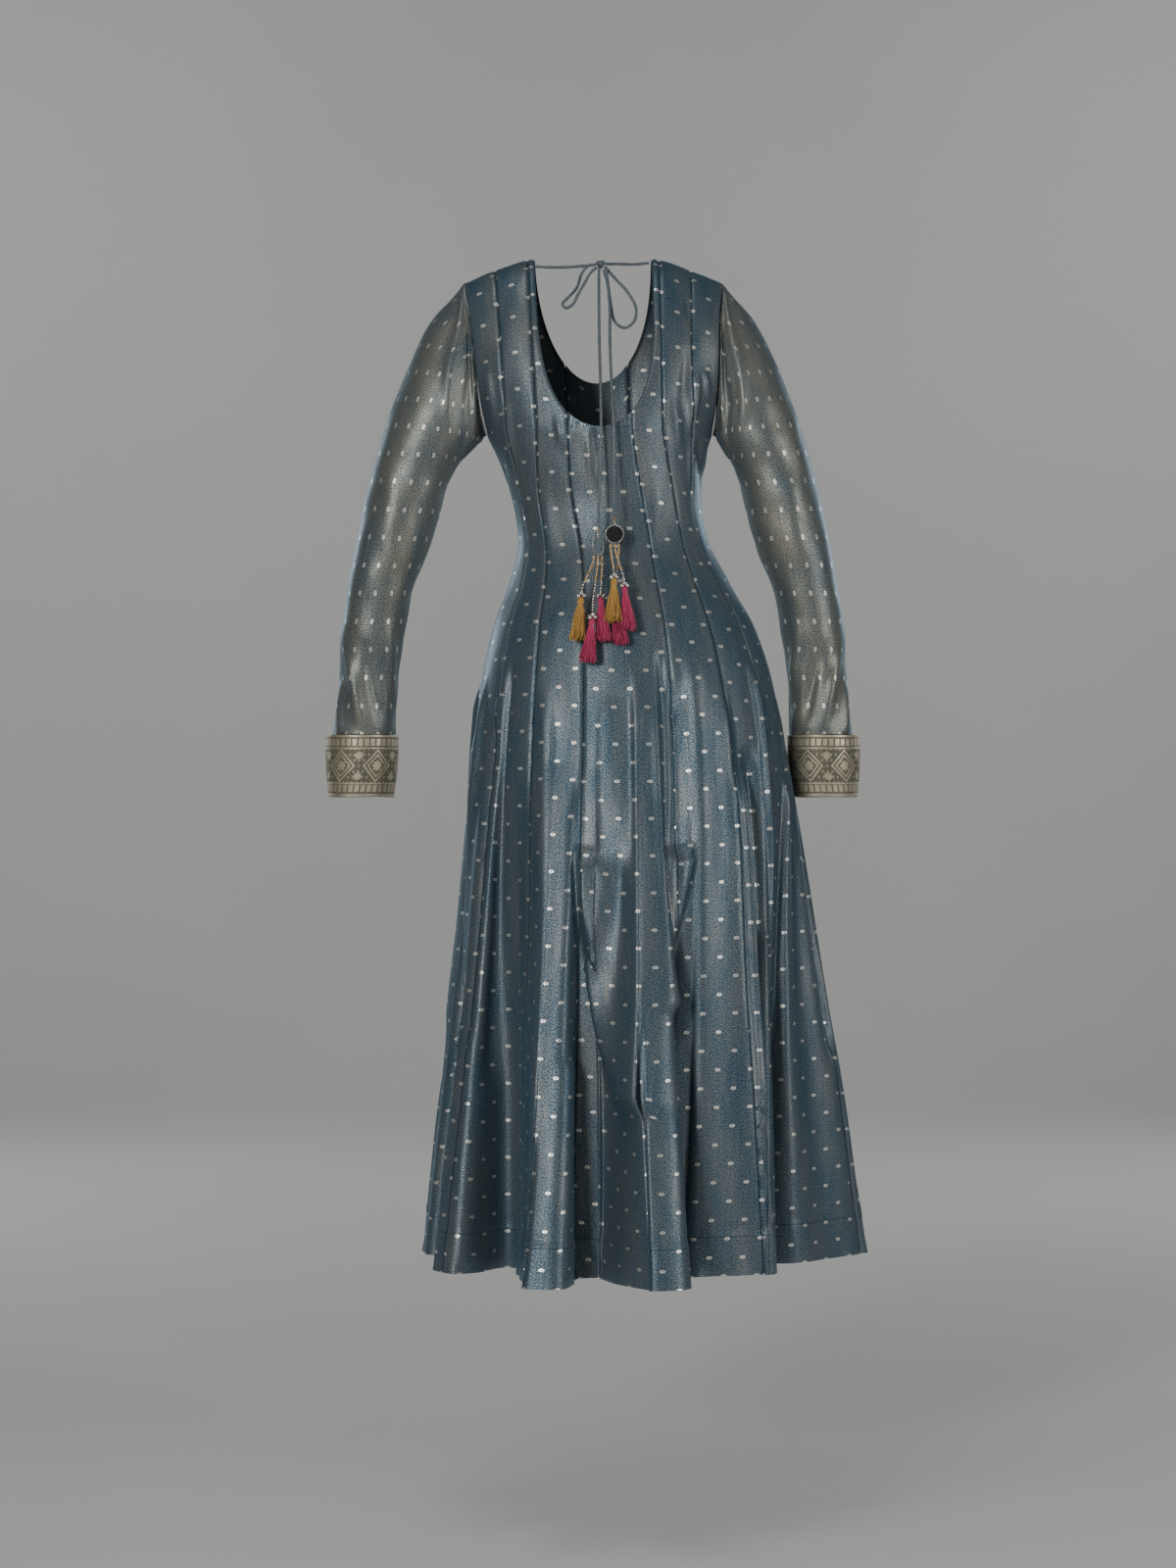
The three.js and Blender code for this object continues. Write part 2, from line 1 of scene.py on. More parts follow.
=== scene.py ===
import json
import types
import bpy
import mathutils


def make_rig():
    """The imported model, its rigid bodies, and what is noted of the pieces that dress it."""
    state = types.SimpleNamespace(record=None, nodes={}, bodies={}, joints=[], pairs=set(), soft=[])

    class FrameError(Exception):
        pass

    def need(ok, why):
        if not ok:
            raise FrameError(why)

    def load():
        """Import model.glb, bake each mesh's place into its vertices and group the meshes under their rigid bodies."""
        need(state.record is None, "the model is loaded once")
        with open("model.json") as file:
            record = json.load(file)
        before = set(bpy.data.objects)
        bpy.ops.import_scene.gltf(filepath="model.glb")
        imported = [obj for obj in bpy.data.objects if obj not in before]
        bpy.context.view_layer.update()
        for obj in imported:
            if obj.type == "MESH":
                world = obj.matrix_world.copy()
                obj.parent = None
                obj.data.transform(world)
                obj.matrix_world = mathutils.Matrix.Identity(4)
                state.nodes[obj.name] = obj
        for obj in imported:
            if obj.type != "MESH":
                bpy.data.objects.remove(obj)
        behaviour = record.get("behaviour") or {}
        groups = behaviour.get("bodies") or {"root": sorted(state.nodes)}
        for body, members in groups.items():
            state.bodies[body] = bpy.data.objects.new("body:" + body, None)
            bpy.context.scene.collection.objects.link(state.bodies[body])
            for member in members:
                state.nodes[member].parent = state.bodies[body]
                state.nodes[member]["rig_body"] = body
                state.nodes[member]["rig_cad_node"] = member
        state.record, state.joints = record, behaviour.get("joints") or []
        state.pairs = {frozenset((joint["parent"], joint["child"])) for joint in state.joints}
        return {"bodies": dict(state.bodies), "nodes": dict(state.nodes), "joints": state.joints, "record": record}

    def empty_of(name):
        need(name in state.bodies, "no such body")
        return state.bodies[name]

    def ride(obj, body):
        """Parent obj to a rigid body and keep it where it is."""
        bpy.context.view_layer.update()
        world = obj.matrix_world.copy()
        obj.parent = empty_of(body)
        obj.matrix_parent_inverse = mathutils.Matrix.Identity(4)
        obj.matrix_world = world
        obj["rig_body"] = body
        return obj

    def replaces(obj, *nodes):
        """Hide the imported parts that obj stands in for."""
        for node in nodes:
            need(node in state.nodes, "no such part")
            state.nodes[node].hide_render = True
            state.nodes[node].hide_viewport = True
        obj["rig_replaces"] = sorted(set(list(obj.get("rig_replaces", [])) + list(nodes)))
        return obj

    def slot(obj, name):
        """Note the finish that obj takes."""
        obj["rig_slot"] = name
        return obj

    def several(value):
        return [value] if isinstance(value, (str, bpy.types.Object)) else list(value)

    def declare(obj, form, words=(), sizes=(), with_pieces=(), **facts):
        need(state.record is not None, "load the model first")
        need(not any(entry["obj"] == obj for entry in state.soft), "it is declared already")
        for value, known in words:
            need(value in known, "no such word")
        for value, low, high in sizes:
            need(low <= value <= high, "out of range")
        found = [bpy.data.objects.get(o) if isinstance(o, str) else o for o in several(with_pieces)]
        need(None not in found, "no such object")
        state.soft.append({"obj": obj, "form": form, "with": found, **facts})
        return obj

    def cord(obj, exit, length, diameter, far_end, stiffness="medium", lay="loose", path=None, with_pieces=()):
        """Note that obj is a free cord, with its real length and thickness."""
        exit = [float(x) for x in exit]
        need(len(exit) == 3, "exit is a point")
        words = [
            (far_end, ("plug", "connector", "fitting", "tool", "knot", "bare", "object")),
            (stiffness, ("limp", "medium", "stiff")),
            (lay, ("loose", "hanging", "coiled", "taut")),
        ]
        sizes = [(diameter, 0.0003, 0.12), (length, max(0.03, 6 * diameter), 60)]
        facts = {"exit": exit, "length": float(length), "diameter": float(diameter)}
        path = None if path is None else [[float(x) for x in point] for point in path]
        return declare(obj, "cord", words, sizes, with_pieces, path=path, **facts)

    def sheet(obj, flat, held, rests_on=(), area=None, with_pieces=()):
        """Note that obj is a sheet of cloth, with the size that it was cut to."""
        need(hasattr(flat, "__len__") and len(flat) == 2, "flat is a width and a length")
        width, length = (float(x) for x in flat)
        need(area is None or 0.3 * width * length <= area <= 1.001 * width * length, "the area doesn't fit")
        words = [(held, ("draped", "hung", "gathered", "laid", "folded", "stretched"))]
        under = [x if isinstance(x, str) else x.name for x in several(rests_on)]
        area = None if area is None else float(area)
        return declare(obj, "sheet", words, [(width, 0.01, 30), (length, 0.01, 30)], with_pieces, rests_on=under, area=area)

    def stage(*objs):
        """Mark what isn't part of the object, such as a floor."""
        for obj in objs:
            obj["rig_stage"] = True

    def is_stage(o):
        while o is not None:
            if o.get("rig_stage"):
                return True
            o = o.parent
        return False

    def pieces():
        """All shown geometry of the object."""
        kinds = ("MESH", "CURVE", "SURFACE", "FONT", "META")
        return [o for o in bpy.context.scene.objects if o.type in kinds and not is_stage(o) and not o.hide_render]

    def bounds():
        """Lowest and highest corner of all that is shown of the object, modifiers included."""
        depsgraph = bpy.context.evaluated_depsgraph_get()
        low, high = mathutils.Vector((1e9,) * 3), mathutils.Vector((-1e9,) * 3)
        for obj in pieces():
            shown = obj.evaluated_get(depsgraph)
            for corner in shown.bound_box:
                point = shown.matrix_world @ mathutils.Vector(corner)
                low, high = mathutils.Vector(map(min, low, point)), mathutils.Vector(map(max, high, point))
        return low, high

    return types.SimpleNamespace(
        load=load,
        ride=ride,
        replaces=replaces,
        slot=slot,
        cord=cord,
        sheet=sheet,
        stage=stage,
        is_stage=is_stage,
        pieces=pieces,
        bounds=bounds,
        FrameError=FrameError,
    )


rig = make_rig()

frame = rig.load()

import json
import math
import random

import bmesh
import bpy
from mathutils import Vector, noise

cad_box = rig.bounds()

# ---- Camera ----
# Level, straight behind the gown, at the height of the wearer's thighs.

camera_data = bpy.data.cameras.new("camera")
camera_data.sensor_fit = "AUTO"
camera_data.sensor_width = 36
camera_data.lens = 76.3
camera = bpy.data.objects.new("camera", camera_data)
camera.location = (-0.0059, -4.0, -0.631)
camera.rotation_euler = (math.radians(90), 0, 0)
bpy.context.scene.collection.objects.link(camera)
bpy.context.scene.camera = camera

# ---- Dori ----
# The tie cord across the back of the neck: a narrow tube sewn from the gown's own tissue cloth and turned
# right side out. Its two ends are sewn to the neckline and tied in a bow with long tails.

DORI_THICK = 0.0036
DORI_AROUND = 12
DORI_STEP = 0.0016  # length of one ring of the tube
DORI_ROUTES = {
    "dori_band_left": [
        (-0.0685, -0.031, -0.013), (-0.045, -0.038, -0.015), (-0.020, -0.044, -0.015),
        (0.003, -0.0485, -0.0135),
    ],
    "dori_band_right": [
        (0.0665, -0.031, -0.009), (0.048, -0.038, -0.0115), (0.030, -0.044, -0.012),
        (0.015, -0.0485, -0.0128),
    ],
    "dori_loop_left": [
        (0.0034, -0.052, -0.014), (-0.006, -0.055, -0.016), (-0.014, -0.057, -0.027),
        (-0.019, -0.059, -0.042), (-0.030, -0.060, -0.055), (-0.036, -0.061, -0.062),
        (-0.032, -0.063, -0.067), (-0.024, -0.064, -0.063), (-0.017, -0.064, -0.050),
        (-0.009, -0.063, -0.036), (-0.003, -0.060, -0.025), (0.004, -0.0555, -0.018),
    ],
    "dori_loop_right": [
        (0.0142, -0.053, -0.0165), (0.027, -0.057, -0.032), (0.041, -0.060, -0.048),
        (0.051, -0.062, -0.068), (0.048, -0.064, -0.084), (0.037, -0.066, -0.091),
        (0.026, -0.067, -0.084), (0.0215, -0.066, -0.066), (0.018, -0.062, -0.042),
        (0.013, -0.0565, -0.0205),
    ],
    "dori_tail_left": [
        (0.007, -0.057, -0.0195), (0.007, -0.068, -0.055), (0.0075, -0.080, -0.110),
        (0.009, -0.095, -0.168), (0.0095, -0.101, -0.206), (0.009, -0.103, -0.255),
        (0.0056, -0.108, -0.330),
    ],
    "dori_tail_right": [
        (0.016, -0.061, -0.0215), (0.0195, -0.073, -0.062), (0.020, -0.084, -0.112),
        (0.022, -0.097, -0.168), (0.024, -0.103, -0.206), (0.025, -0.104, -0.255),
        (0.0252, -0.109, -0.3165),
    ],
}


def between(t, start, leave, end, arrive):
    """A point part of the way along a curve, from where it starts and ends and how it leaves and arrives."""
    return (
        (2 * t**3 - 3 * t**2 + 1) * start
        + (t**3 - 2 * t**2 + t) * leave
        + (3 * t**2 - 2 * t**3) * end
        + (t**3 - t**2) * arrive
    )


def smooth_route(points, step):
    """Points a step apart on the centripetal curve through a route's points."""
    points = [Vector(p) for p in points]
    ends = [2 * points[0] - points[1], *points, 2 * points[-1] - points[-2]]
    line = [points[0]]
    for before, start, end, after in zip(ends, ends[1:], ends[2:], ends[3:]):
        a, b, c = ((q - p).length ** 0.5 for p, q in ((before, start), (start, end), (end, after)))
        leave = b * ((start - before) / a - (end - before) / (a + b) + (end - start) / b)
        arrive = b * ((end - start) / b - (after - start) / (b + c) + (after - end) / c)
        count = max(2, round((end - start).length / step))
        for k in range(1, count + 1):
            t = k / count
            line.append(between(t, start, leave, end, arrive))
    return line


def frames_along(line):
    """For each point of a line, two directions square to it, carried along without a twist."""
    side = (line[1] - line[0]).orthogonal().normalized()
    frames = []
    for k in range(len(line)):
        ahead = (line[min(k + 1, len(line) - 1)] - line[max(k - 1, 0)]).normalized()
        side = (side - side.dot(ahead) * ahead).normalized()
        frames.append((side, ahead.cross(side)))
    return frames


def lay_grid(name, spots, closed=False, own_lengths=False):
    """A mesh object from rows of points. Its UV map is in metres along the cloth's grain: u runs across from
    each row's middle, and v up from the first row along the middle column, or along each column's own
    length. The map Edge gives the distance from the nearer side edge. A closed grid joins its sides."""
    count, columns = len(spots), len(spots[0])
    middle = (columns - 1) // 2
    across = []
    for row in spots:
        gone = [0.0]
        for p, q in zip(row, row[1:]):
            gone.append(gone[-1] + (q - p).length)
        across.append([g - gone[middle] for g in gone])
    up = [[0.0] * columns]
    for p, q in zip(spots, spots[1:]):
        taken = range(columns) if own_lengths else [middle] * columns
        steps = [(q[i] - p[i]).length for i in taken]
        up.append([gone + step for gone, step in zip(up[-1], steps)])
    grid = bmesh.new()
    bmesh.ops.create_grid(grid, x_segments=columns - 1, y_segments=count - 1, size=1)
    uv = grid.loops.layers.uv.new("UVMap")
    edge_uv = grid.loops.layers.uv.new("Edge")
    at = {
        v: (round((v.co.x + 1) / 2 * (columns - 1)), round((v.co.y + 1) / 2 * (count - 1)))
        for v in grid.verts
    }
    for face in grid.faces:
        face.smooth = True
        for corner in face.loops:
            i, j = at[corner.vert]
            corner[uv].uv = (across[j][i], up[j][i])
            corner[edge_uv].uv = (min(across[j][i] - across[j][0], across[j][-1] - across[j][i]), 0)
    for edge in grid.edges:
        edge.smooth = not edge.is_boundary
    for v, (i, j) in at.items():
        v.co = spots[j][i]
    if closed:
        bmesh.ops.remove_doubles(grid, verts=grid.verts, dist=1e-6)
    return as_object(name, grid)


def as_object(name, made):
    """Turns a bmesh into a linked object that rides on the gown's one body."""
    mesh = bpy.data.meshes.new(name)
    made.to_mesh(mesh)
    made.free()
    piece = bpy.data.objects.new(name, mesh)
    bpy.context.scene.collection.objects.link(piece)
    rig.ride(piece, "root")
    return piece


def wire(tree, kind, *inputs, out=0, **settings):
    """Adds a node, links or sets its inputs in order, and gives one of its outputs."""
    made = tree.nodes.new("ShaderNode" + kind)
    for key, value in settings.items():
        setattr(made, key, value)
    for socket, value in zip(made.inputs, inputs):
        if isinstance(value, bpy.types.NodeSocket):
            tree.links.new(value, socket)
        elif value is not None:
            socket.default_value = value
    return made.outputs[out]


def calc(tree, operation, *inputs):
    return wire(tree, "Math", *inputs, operation=operation)


def ramp(tree, value, low, high, to_low=0.0, to_high=1.0):
    """Carries a value smoothly from one range to another."""
    return wire(tree, "MapRange", value, low, high, to_low, to_high, interpolation_type="SMOOTHSTEP")


def mix_colour(tree, share, low, high):
    return wire(tree, "Mix", share, None, None, None, None, None, low, high, out=2, data_type="RGBA")


def new_group(name, inputs, outputs):
    """A shader node group with float or vector inputs and outputs, and the sockets inside it."""
    group = bpy.data.node_groups.new(name, "ShaderNodeTree")
    for socket, value in inputs.items():
        kind = "NodeSocketVector" if value is None else "NodeSocketFloat"
        made = group.interface.new_socket(socket, in_out="INPUT", socket_type=kind)
        if value is not None:
            made.default_value = value
    for socket in outputs:
        group.interface.new_socket(socket, in_out="OUTPUT", socket_type="NodeSocketFloat")
    source = group.nodes.new("NodeGroupInput").outputs
    return group, source, group.nodes.new("NodeGroupOutput").inputs


def use_group(tree, group, **values):
    """Places a group in a material, with its values given by socket name, and gives its outputs."""
    made = tree.nodes.new("ShaderNodeGroup")
    made.node_tree = group
    for key, value in values.items():
        socket = made.inputs[key.replace("_", " ")]
        if isinstance(value, bpy.types.NodeSocket):
            tree.links.new(value, socket)
        else:
            socket.default_value = value
    return made.outputs


def new_material(name, **surface):
    """A material with one Principled shader. Each keyword sets a socket, with _ for the space in its name."""
    material = bpy.data.materials.new(name)
    material.use_nodes = True
    shader = material.node_tree.nodes["Principled BSDF"]
    for key, value in surface.items():
        shader.inputs[key.replace("_", " ")].default_value = value
    return material, material.node_tree, shader


def feed(tree, shader, **sources):
    for key, source in sources.items():
        tree.links.new(source, shader.inputs[key.replace("_", " ")])


# Tissue weave: silk warp crossed by a flat metal weft, which shows as a fine glitter with slubs along the
# warp. Weft says where the metal shows, and Height how the threads stand up.
tissue, given, made = new_group("Tissue weave", {"Cloth": None, "Metal": 0.45}, ["Weft", "Height"])
WEAVE = [  # grain, slubs and clouds: how many to a metre across and along, roughness, and strength
    ((900, 760, 1), 0.6, 4.4),
    ((420, 28, 1), 0.5, 0.5),
    ((26, 7, 1), 0.5, 0.8),
]
weft = given["Metal"]
clumps = []
for per_metre, roughness, strength in WEAVE:
    scaled = wire(tissue, "VectorMath", given["Cloth"], per_metre, operation="MULTIPLY")
    clumps.append(wire(tissue, "TexNoise", scaled, None, 1.0, 2.0, roughness))
    weft = calc(tissue, "MULTIPLY_ADD", calc(tissue, "SUBTRACT", clumps[-1], 0.5), strength, weft)
tissue.links.new(wire(tissue, "Clamp", weft), made["Weft"])
tissue.links.new(clumps[0], made["Height"])

WARP = (0.003, 0.048, 0.090, 1)  # teal silk
WEFT = (0.30, 0.28, 0.235, 1)  # grey-beige metal

dori_cloth, tree, shader = new_material("dori_cloth", Roughness=0.5, Sheen_Weight=0.25, Sheen_Roughness=0.4)
grain = wire(tree, "UVMap")
threads = use_group(tree, tissue, Cloth=grain, Metal=0.30)
bump = wire(tree, "Bump", 0.25, 0.0004, None, threads["Height"])
metal = calc(tree, "MULTIPLY", threads["Weft"], 0.6)
feed(tree, shader, Base_Color=mix_colour(tree, threads["Weft"], WARP, WEFT), Metallic=metal, Normal=bump)


def dori_tube(name, route):
    """A tube of cloth round a route, a little wrinkled round a slow spiral."""
    line = smooth_route(route, DORI_STEP)
    spots = []
    for k, (centre, (side, over)) in enumerate(zip(line, frames_along(line))):
        ring = []
        for j in range(DORI_AROUND + 1):
            turn = 2 * math.pi * j / DORI_AROUND
            wrinkle = 0.07 * math.sin(2 * turn + k * 0.55) + 0.08 * noise.noise(centre * 160)
            radius = DORI_THICK / 2 * (0.97 + wrinkle)
            ring.append(centre + radius * (math.cos(turn) * side + math.sin(turn) * over))
        spots.append(ring)
    tube = lay_grid(name, spots, closed=True)
    shape = bmesh.new()
    shape.from_mesh(tube.data)
    bmesh.ops.holes_fill(shape, edges=shape.edges, sides=DORI_AROUND)
    shape.to_mesh(tube.data)
    shape.free()
    tube.data.materials.append(dori_cloth)
    length = sum((q - p).length for p, q in zip(line, line[1:]))
    return tube, line, length


dori_pieces = {}
for name, route in DORI_ROUTES.items():
    dori_pieces[name] = dori_tube(name + "_cloth", route)
    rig.replaces(dori_pieces[name][0], name)
    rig.slot(dori_pieces[name][0], "dori_cord")

# The knot: two turns of the same tube round each other, pulled tight.
KNOT_AT = Vector((0.009, -0.050, -0.013))
knot = bmesh.new()
bmesh.ops.create_uvsphere(knot, u_segments=24, v_segments=16, radius=0.0048)
for v in knot.verts:
    lie = math.atan2(v.co.z, v.co.x)
    swell = 1 + 0.16 * math.sin(3 * lie + 300 * v.co.y)
    v.co = KNOT_AT + Vector((v.co.x * 1.1, v.co.y, v.co.z)) * swell
knot_piece = as_object("dori_knot_cloth", knot)
for face in knot_piece.data.polygons:
    face.use_smooth = True
knot_piece.data.materials.append(dori_cloth)
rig.replaces(knot_piece, "dori_knot")
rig.slot(knot_piece, "dori_cord")

# ---- Kalis ----
# Fourteen tapered panels of tissue cloth, each cut along its grain from the shoulder or the neckline to the
# hem, and joined with narrow seams. They hold the wearer's shape to the hips and fall free in deep flutes.


def rows(keys, table):
    """A table's rows, each as values by name."""
    return [dict(zip(keys, row)) for row in table]


FORM = rows(("z", "middle", "half", "back", "front"), [
    (-0.212, 0.008, 0.135, 0.092, 0.122),
    (-0.256, 0.012, 0.120, 0.085, 0.112),
    (-0.300, 0.018, 0.113, 0.078, 0.092),
    (-0.345, 0.026, 0.116, 0.082, 0.088),
    (-0.390, 0.032, 0.133, 0.095, 0.092),
    (-0.440, 0.037, 0.157, 0.110, 0.098),
    (-0.520, 0.042, 0.177, 0.121, 0.108),
    (-0.640, 0.045, 0.189, 0.134, 0.126),
    (-0.820, 0.048, 0.197, 0.152, 0.148),
    (-1.010, 0.051, 0.207, 0.171, 0.170),
    (-1.195, 0.053, 0.215, 0.190, 0.190),
])
ARMPIT_Z = FORM[0]["z"]
HEM_Z = FORM[-1]["z"]
HEM_DROOP = 0.009
NECK_HALF = 0.070
SHOULDER_TIP = 0.153
SHOULDER_DROP = 0.028
BELOW_RIDGE = 86
SEAMS = rows(("z", "inner", "middle", "outer"), [
    (-0.212, 16.5, 34.0, 55.0),
    (-0.300, 21.8, 45.8, 65.0),
    (-0.420, 18.0, 40.0, 61.0),
    (-0.520, 17.0, 38.5, 62.0),
    (-1.195, 17.0, 39.0, 64.0),
])
SEAM_AT_SHOULDER = {"middle": 0.079, "outer": 0.118}
FLUTES = rows(("angle", "rise", "from"), [
    (-165, -0.045, -0.620),
    (-145, 0.048, -0.640),
    (-124, -0.050, -0.600),
    (-103, 0.052, -0.560),
    (-84, -0.050, -0.640),
    (-66, 0.050, -0.600),
    (-47, -0.046, -0.620),
    (-28, 0.070, -0.600),
    (-13, -0.036, -0.760),
    (2, 0.058, -0.640),
    (21, -0.052, -0.700),
    (46, -0.008, -0.560),
    (70, -0.058, -0.640),
    (96, 0.066, -0.520),
    (118, -0.048, -0.620),
    (138, 0.046, -0.600),
    (157, -0.044, -0.640),
    (176, 0.050, -0.600),
])
FLUTE_CURL = 0.022
NECK = {"back": {"depth": 0.210, "down": 3.9}, "front": {"depth": 0.135, "down": 2.0}}

# Lesser folds of the skirt, by the angle and level at which each begins and ends: how far it stands out, and
# how far its flanks reach to its left and right.
SKIRT_FOLDS = rows(("start", "end", "rise", "left", "right"), [
    ((2.5, -0.49), (-3.6, -1.19), 0.005, 0.006, 0.012),
    ((9.0, -0.50), (9.2, -1.19), 0.004, 0.010, 0.006),
    ((13.6, -0.46), (11.2, -0.90), -0.005, 0.007, 0.008),
    ((17.6, -0.50), (15.3, -0.95), -0.007, 0.008, 0.010),
    ((26.8, -0.44), (28.9, -1.19), 0.007, 0.016, 0.022),
    ((37.7, -0.50), (40.5, -1.19), 0.006, 0.014, 0.006),
    ((57.0, -0.48), (60.0, -0.90), 0.007, 0.006, 0.026),
    ((-19.4, -0.70), (-3.8, -1.02), 0.016, 0.005, 0.030),
    ((21.0, -0.70), (12.0, -0.90), 0.014, 0.024, 0.005),
    ((-22.5, -0.94), (-19.8, -1.19), 0.005, 0.010, 0.014),
    ((-5.0, -0.70), (-8.0, -1.19), -0.010, 0.016, 0.007),
    ((49.0, -0.58), (50.5, -1.00), -0.010, 0.012, 0.010),
    ((50.0, -0.80), (52.5, -1.19), -0.050, 0.010, 0.010),
    ((76.0, -0.60), (80.0, -1.19), 0.012, 0.009, 0.014),
    ((12.5, -0.80), (13.0, -1.19), -0.010, 0.008, 0.016),
    ((43.0, -0.60), (45.5, -1.19), 0.012, 0.014, 0.008),
    ((-8.0, -0.52), (-9.0, -0.86), 0.003, 0.012, 0.018),
    ((-34.0, -0.50), (-31.0, -1.19), 0.004, 0.009, 0.014),
    ((-52.0, -0.47), (-56.0, -1.00), -0.006, 0.009, 0.008),
    ((80.0, -0.50), (84.0, -1.19), -0.005, 0.010, 0.010),
    ((106.0, -0.46), (103.0, -1.19), 0.005, 0.016, 0.009),
])
UNSEEN_FOLDS = 26  # more of them, round the front and the left side
FOLD_FADE = 0.10  # how much of its length a fold takes to grow

# Small pulls and tucks of the bodice, by distance from the middle and height, on the back and front alike.
BODICE_FOLDS = rows(("start", "end", "rise", "width", "side"), [
    ((0.003, -0.205), (0.009, -0.290), -0.0030, 0.0040, "back"),
    ((-0.006, -0.212), (-0.002, -0.270), 0.0022, 0.0050, "back"),
    ((-0.044, -0.196), (-0.036, -0.236), 0.0022, 0.0045, "back"),
    ((-0.034, -0.205), (-0.028, -0.250), 0.0018, 0.0040, "back"),
    ((0.132, -0.138), (0.138, -0.172), 0.0030, 0.0040, "back"),
    ((0.126, -0.140), (0.117, -0.210), 0.0038, 0.0048, "back"),
    ((0.112, -0.110), (0.106, -0.190), -0.0026, 0.0060, "back"),
    ((0.096, -0.175), (0.103, -0.240), 0.0028, 0.0060, "back"),
    ((0.116, -0.222), (0.120, -0.280), 0.0024, 0.0036, "back"),
    ((0.126, -0.218), (0.129, -0.284), -0.0022, 0.0034, "back"),
    ((0.134, -0.214), (0.133, -0.276), 0.0022, 0.0032, "back"),
    ((0.113, -0.052), (0.114, -0.084), -0.0024, 0.0034, "back"),
    ((-0.128, -0.128), (-0.116, -0.206), 0.0034, 0.0050, "back"),
    ((-0.104, -0.170), (-0.098, -0.250), 0.0024, 0.0060, "back"),
    ((-0.112, -0.230), (-0.104, -0.290), -0.0022, 0.0040, "back"),
    ((0.080, -0.250), (0.072, -0.360), 0.0020, 0.0090, "back"),
    ((-0.060, -0.260), (-0.052, -0.370), 0.0020, 0.0090, "back"),
    ((0.124, -0.130), (0.112, -0.215), 0.0032, 0.0050, "front"),
    ((-0.122, -0.132), (-0.108, -0.212), 0.0034, 0.0050, "front"),
    ((0.098, -0.190), (0.080, -0.300), 0.0024, 0.0080, "front"),
    ((-0.090, -0.200), (-0.066, -0.306), 0.0024, 0.0080, "front"),
])

chance = random.Random(4)
for k in range(UNSEEN_FOLDS):
    angle = 74 + (360 - 74 - 60) * (k + chance.uniform(0.2, 0.8)) / UNSEEN_FOLDS
    SKIRT_FOLDS.append({
        "start": (angle if angle < 180 else angle - 360, chance.uniform(-0.56, -0.46)),
        "end": (angle + chance.uniform(-4, 4) - (0 if angle < 180 else 360), -chance.uniform(0.86, 1.19)),
        "rise": chance.choice((-1, 1)) * chance.uniform(0.003, 0.007),
        "left": chance.uniform(0.006, 0.014),
        "right": chance.uniform(0.006, 0.014),
    })


def smooth_at(table, column, z):
    """A column of a table at level z, on a smooth curve through its rows."""
    last = len(table) - 1
    i = 0
    while i < last - 1 and z < table[i + 1]["z"]:
        i += 1

    def slope(k):
        a, b = table[max(k - 1, 0)], table[min(k + 1, last)]
        return (b[column] - a[column]) / (b["z"] - a["z"])

    low, high = table[i], table[i + 1]
    step = high["z"] - low["z"]
    t = (z - low["z"]) / step
    start = (1 + 2 * t) * (1 - t) ** 2 * low[column] + t * (1 - t) ** 2 * step * slope(i)
    return start + t * t * (3 - 2 * t) * high[column] + t * t * (t - 1) * step * slope(i + 1)


def flute(angle, z):
    """How far the cloth stands out at an angle and level, and how far it leans sideways there."""
    turned = (angle - FLUTES[0]["angle"]) % 360
    i = max(k for k, row in enumerate(FLUTES) if row["angle"] - FLUTES[0]["angle"] <= turned)
    here, after = FLUTES[i], FLUTES[(i + 1) % len(FLUTES)]
    span = (after["angle"] - here["angle"]) % 360
    t = (turned - (here["angle"] - FLUTES[0]["angle"])) / span
    ease = t * t * (3 - 2 * t)
    crisp = ease * ease * (3 - 2 * ease)
    ease = 0.25 * ease + 0.75 * crisp
    grown = [row["rise"] * max(0.0, (row["from"] - z) / (row["from"] - HEM_Z)) for row in (here, after)]
    low = min(z - ARMPIT_Z, 0.0) / (HEM_Z - ARMPIT_Z)
    lean = math.sin(2 * math.pi * t) * FLUTE_CURL * low**2.2
    return grown[0] * (1 - ease) + grown[1] * ease, math.copysign(lean, lean * (here["rise"] - after["rise"]))


def ridge(x):
    along = max(0.0, abs(x) - NECK_HALF) / (SHOULDER_TIP - NECK_HALF)
    return -SHOULDER_DROP * along**1.3


def yoke(row):
    """Half width and middle of the yoke at a row, in degrees from the armpits at 0 to the ridge at 90."""
    up = math.sin(math.radians(row))
    half = FORM[0]["half"] + (SHOULDER_TIP - FORM[0]["half"]) * up + 0.029 * math.sin(math.radians(2 * row))
    return half, FORM[0]["middle"] * (1 - up)


def form_point(angle, level):
    """The gown's outer surface. The angle runs from 0 at the middle of the back through 90 at the wearer's
    right side. A level up to 0 is a height below the armpits, and one above 0 is a yoke row."""
    turn = math.radians(angle)
    side = "back" if math.cos(turn) >= 0 else "front"
    if level > 0:
        half, middle = yoke(level)
        x = middle + half * math.sin(turn)
        depth = FORM[0][side] * math.cos(math.radians(min(level, 90))) ** 0.85
        z = ARMPIT_Z + (ridge(x) - ARMPIT_Z) * math.sin(math.radians(level))
        return Vector((x, -depth * math.cos(turn), z))
    z = ARMPIT_Z + level
    half, depth = smooth_at(FORM, "half", z), smooth_at(FORM, side, z)
    normal = Vector((math.sin(turn) / half, -math.cos(turn) / depth)).normalized()
    out, lean = flute(angle, z)
    droop = (1 + math.cos(turn)) / 2 * HEM_DROOP * level / (HEM_Z - ARMPIT_Z)
    return Vector((
        smooth_at(FORM, "middle", z) + half * math.sin(turn) + normal.x * out - normal.y * lean,
        -depth * math.cos(turn) + normal.y * out + normal.x * lean,
        z - droop,
    ))


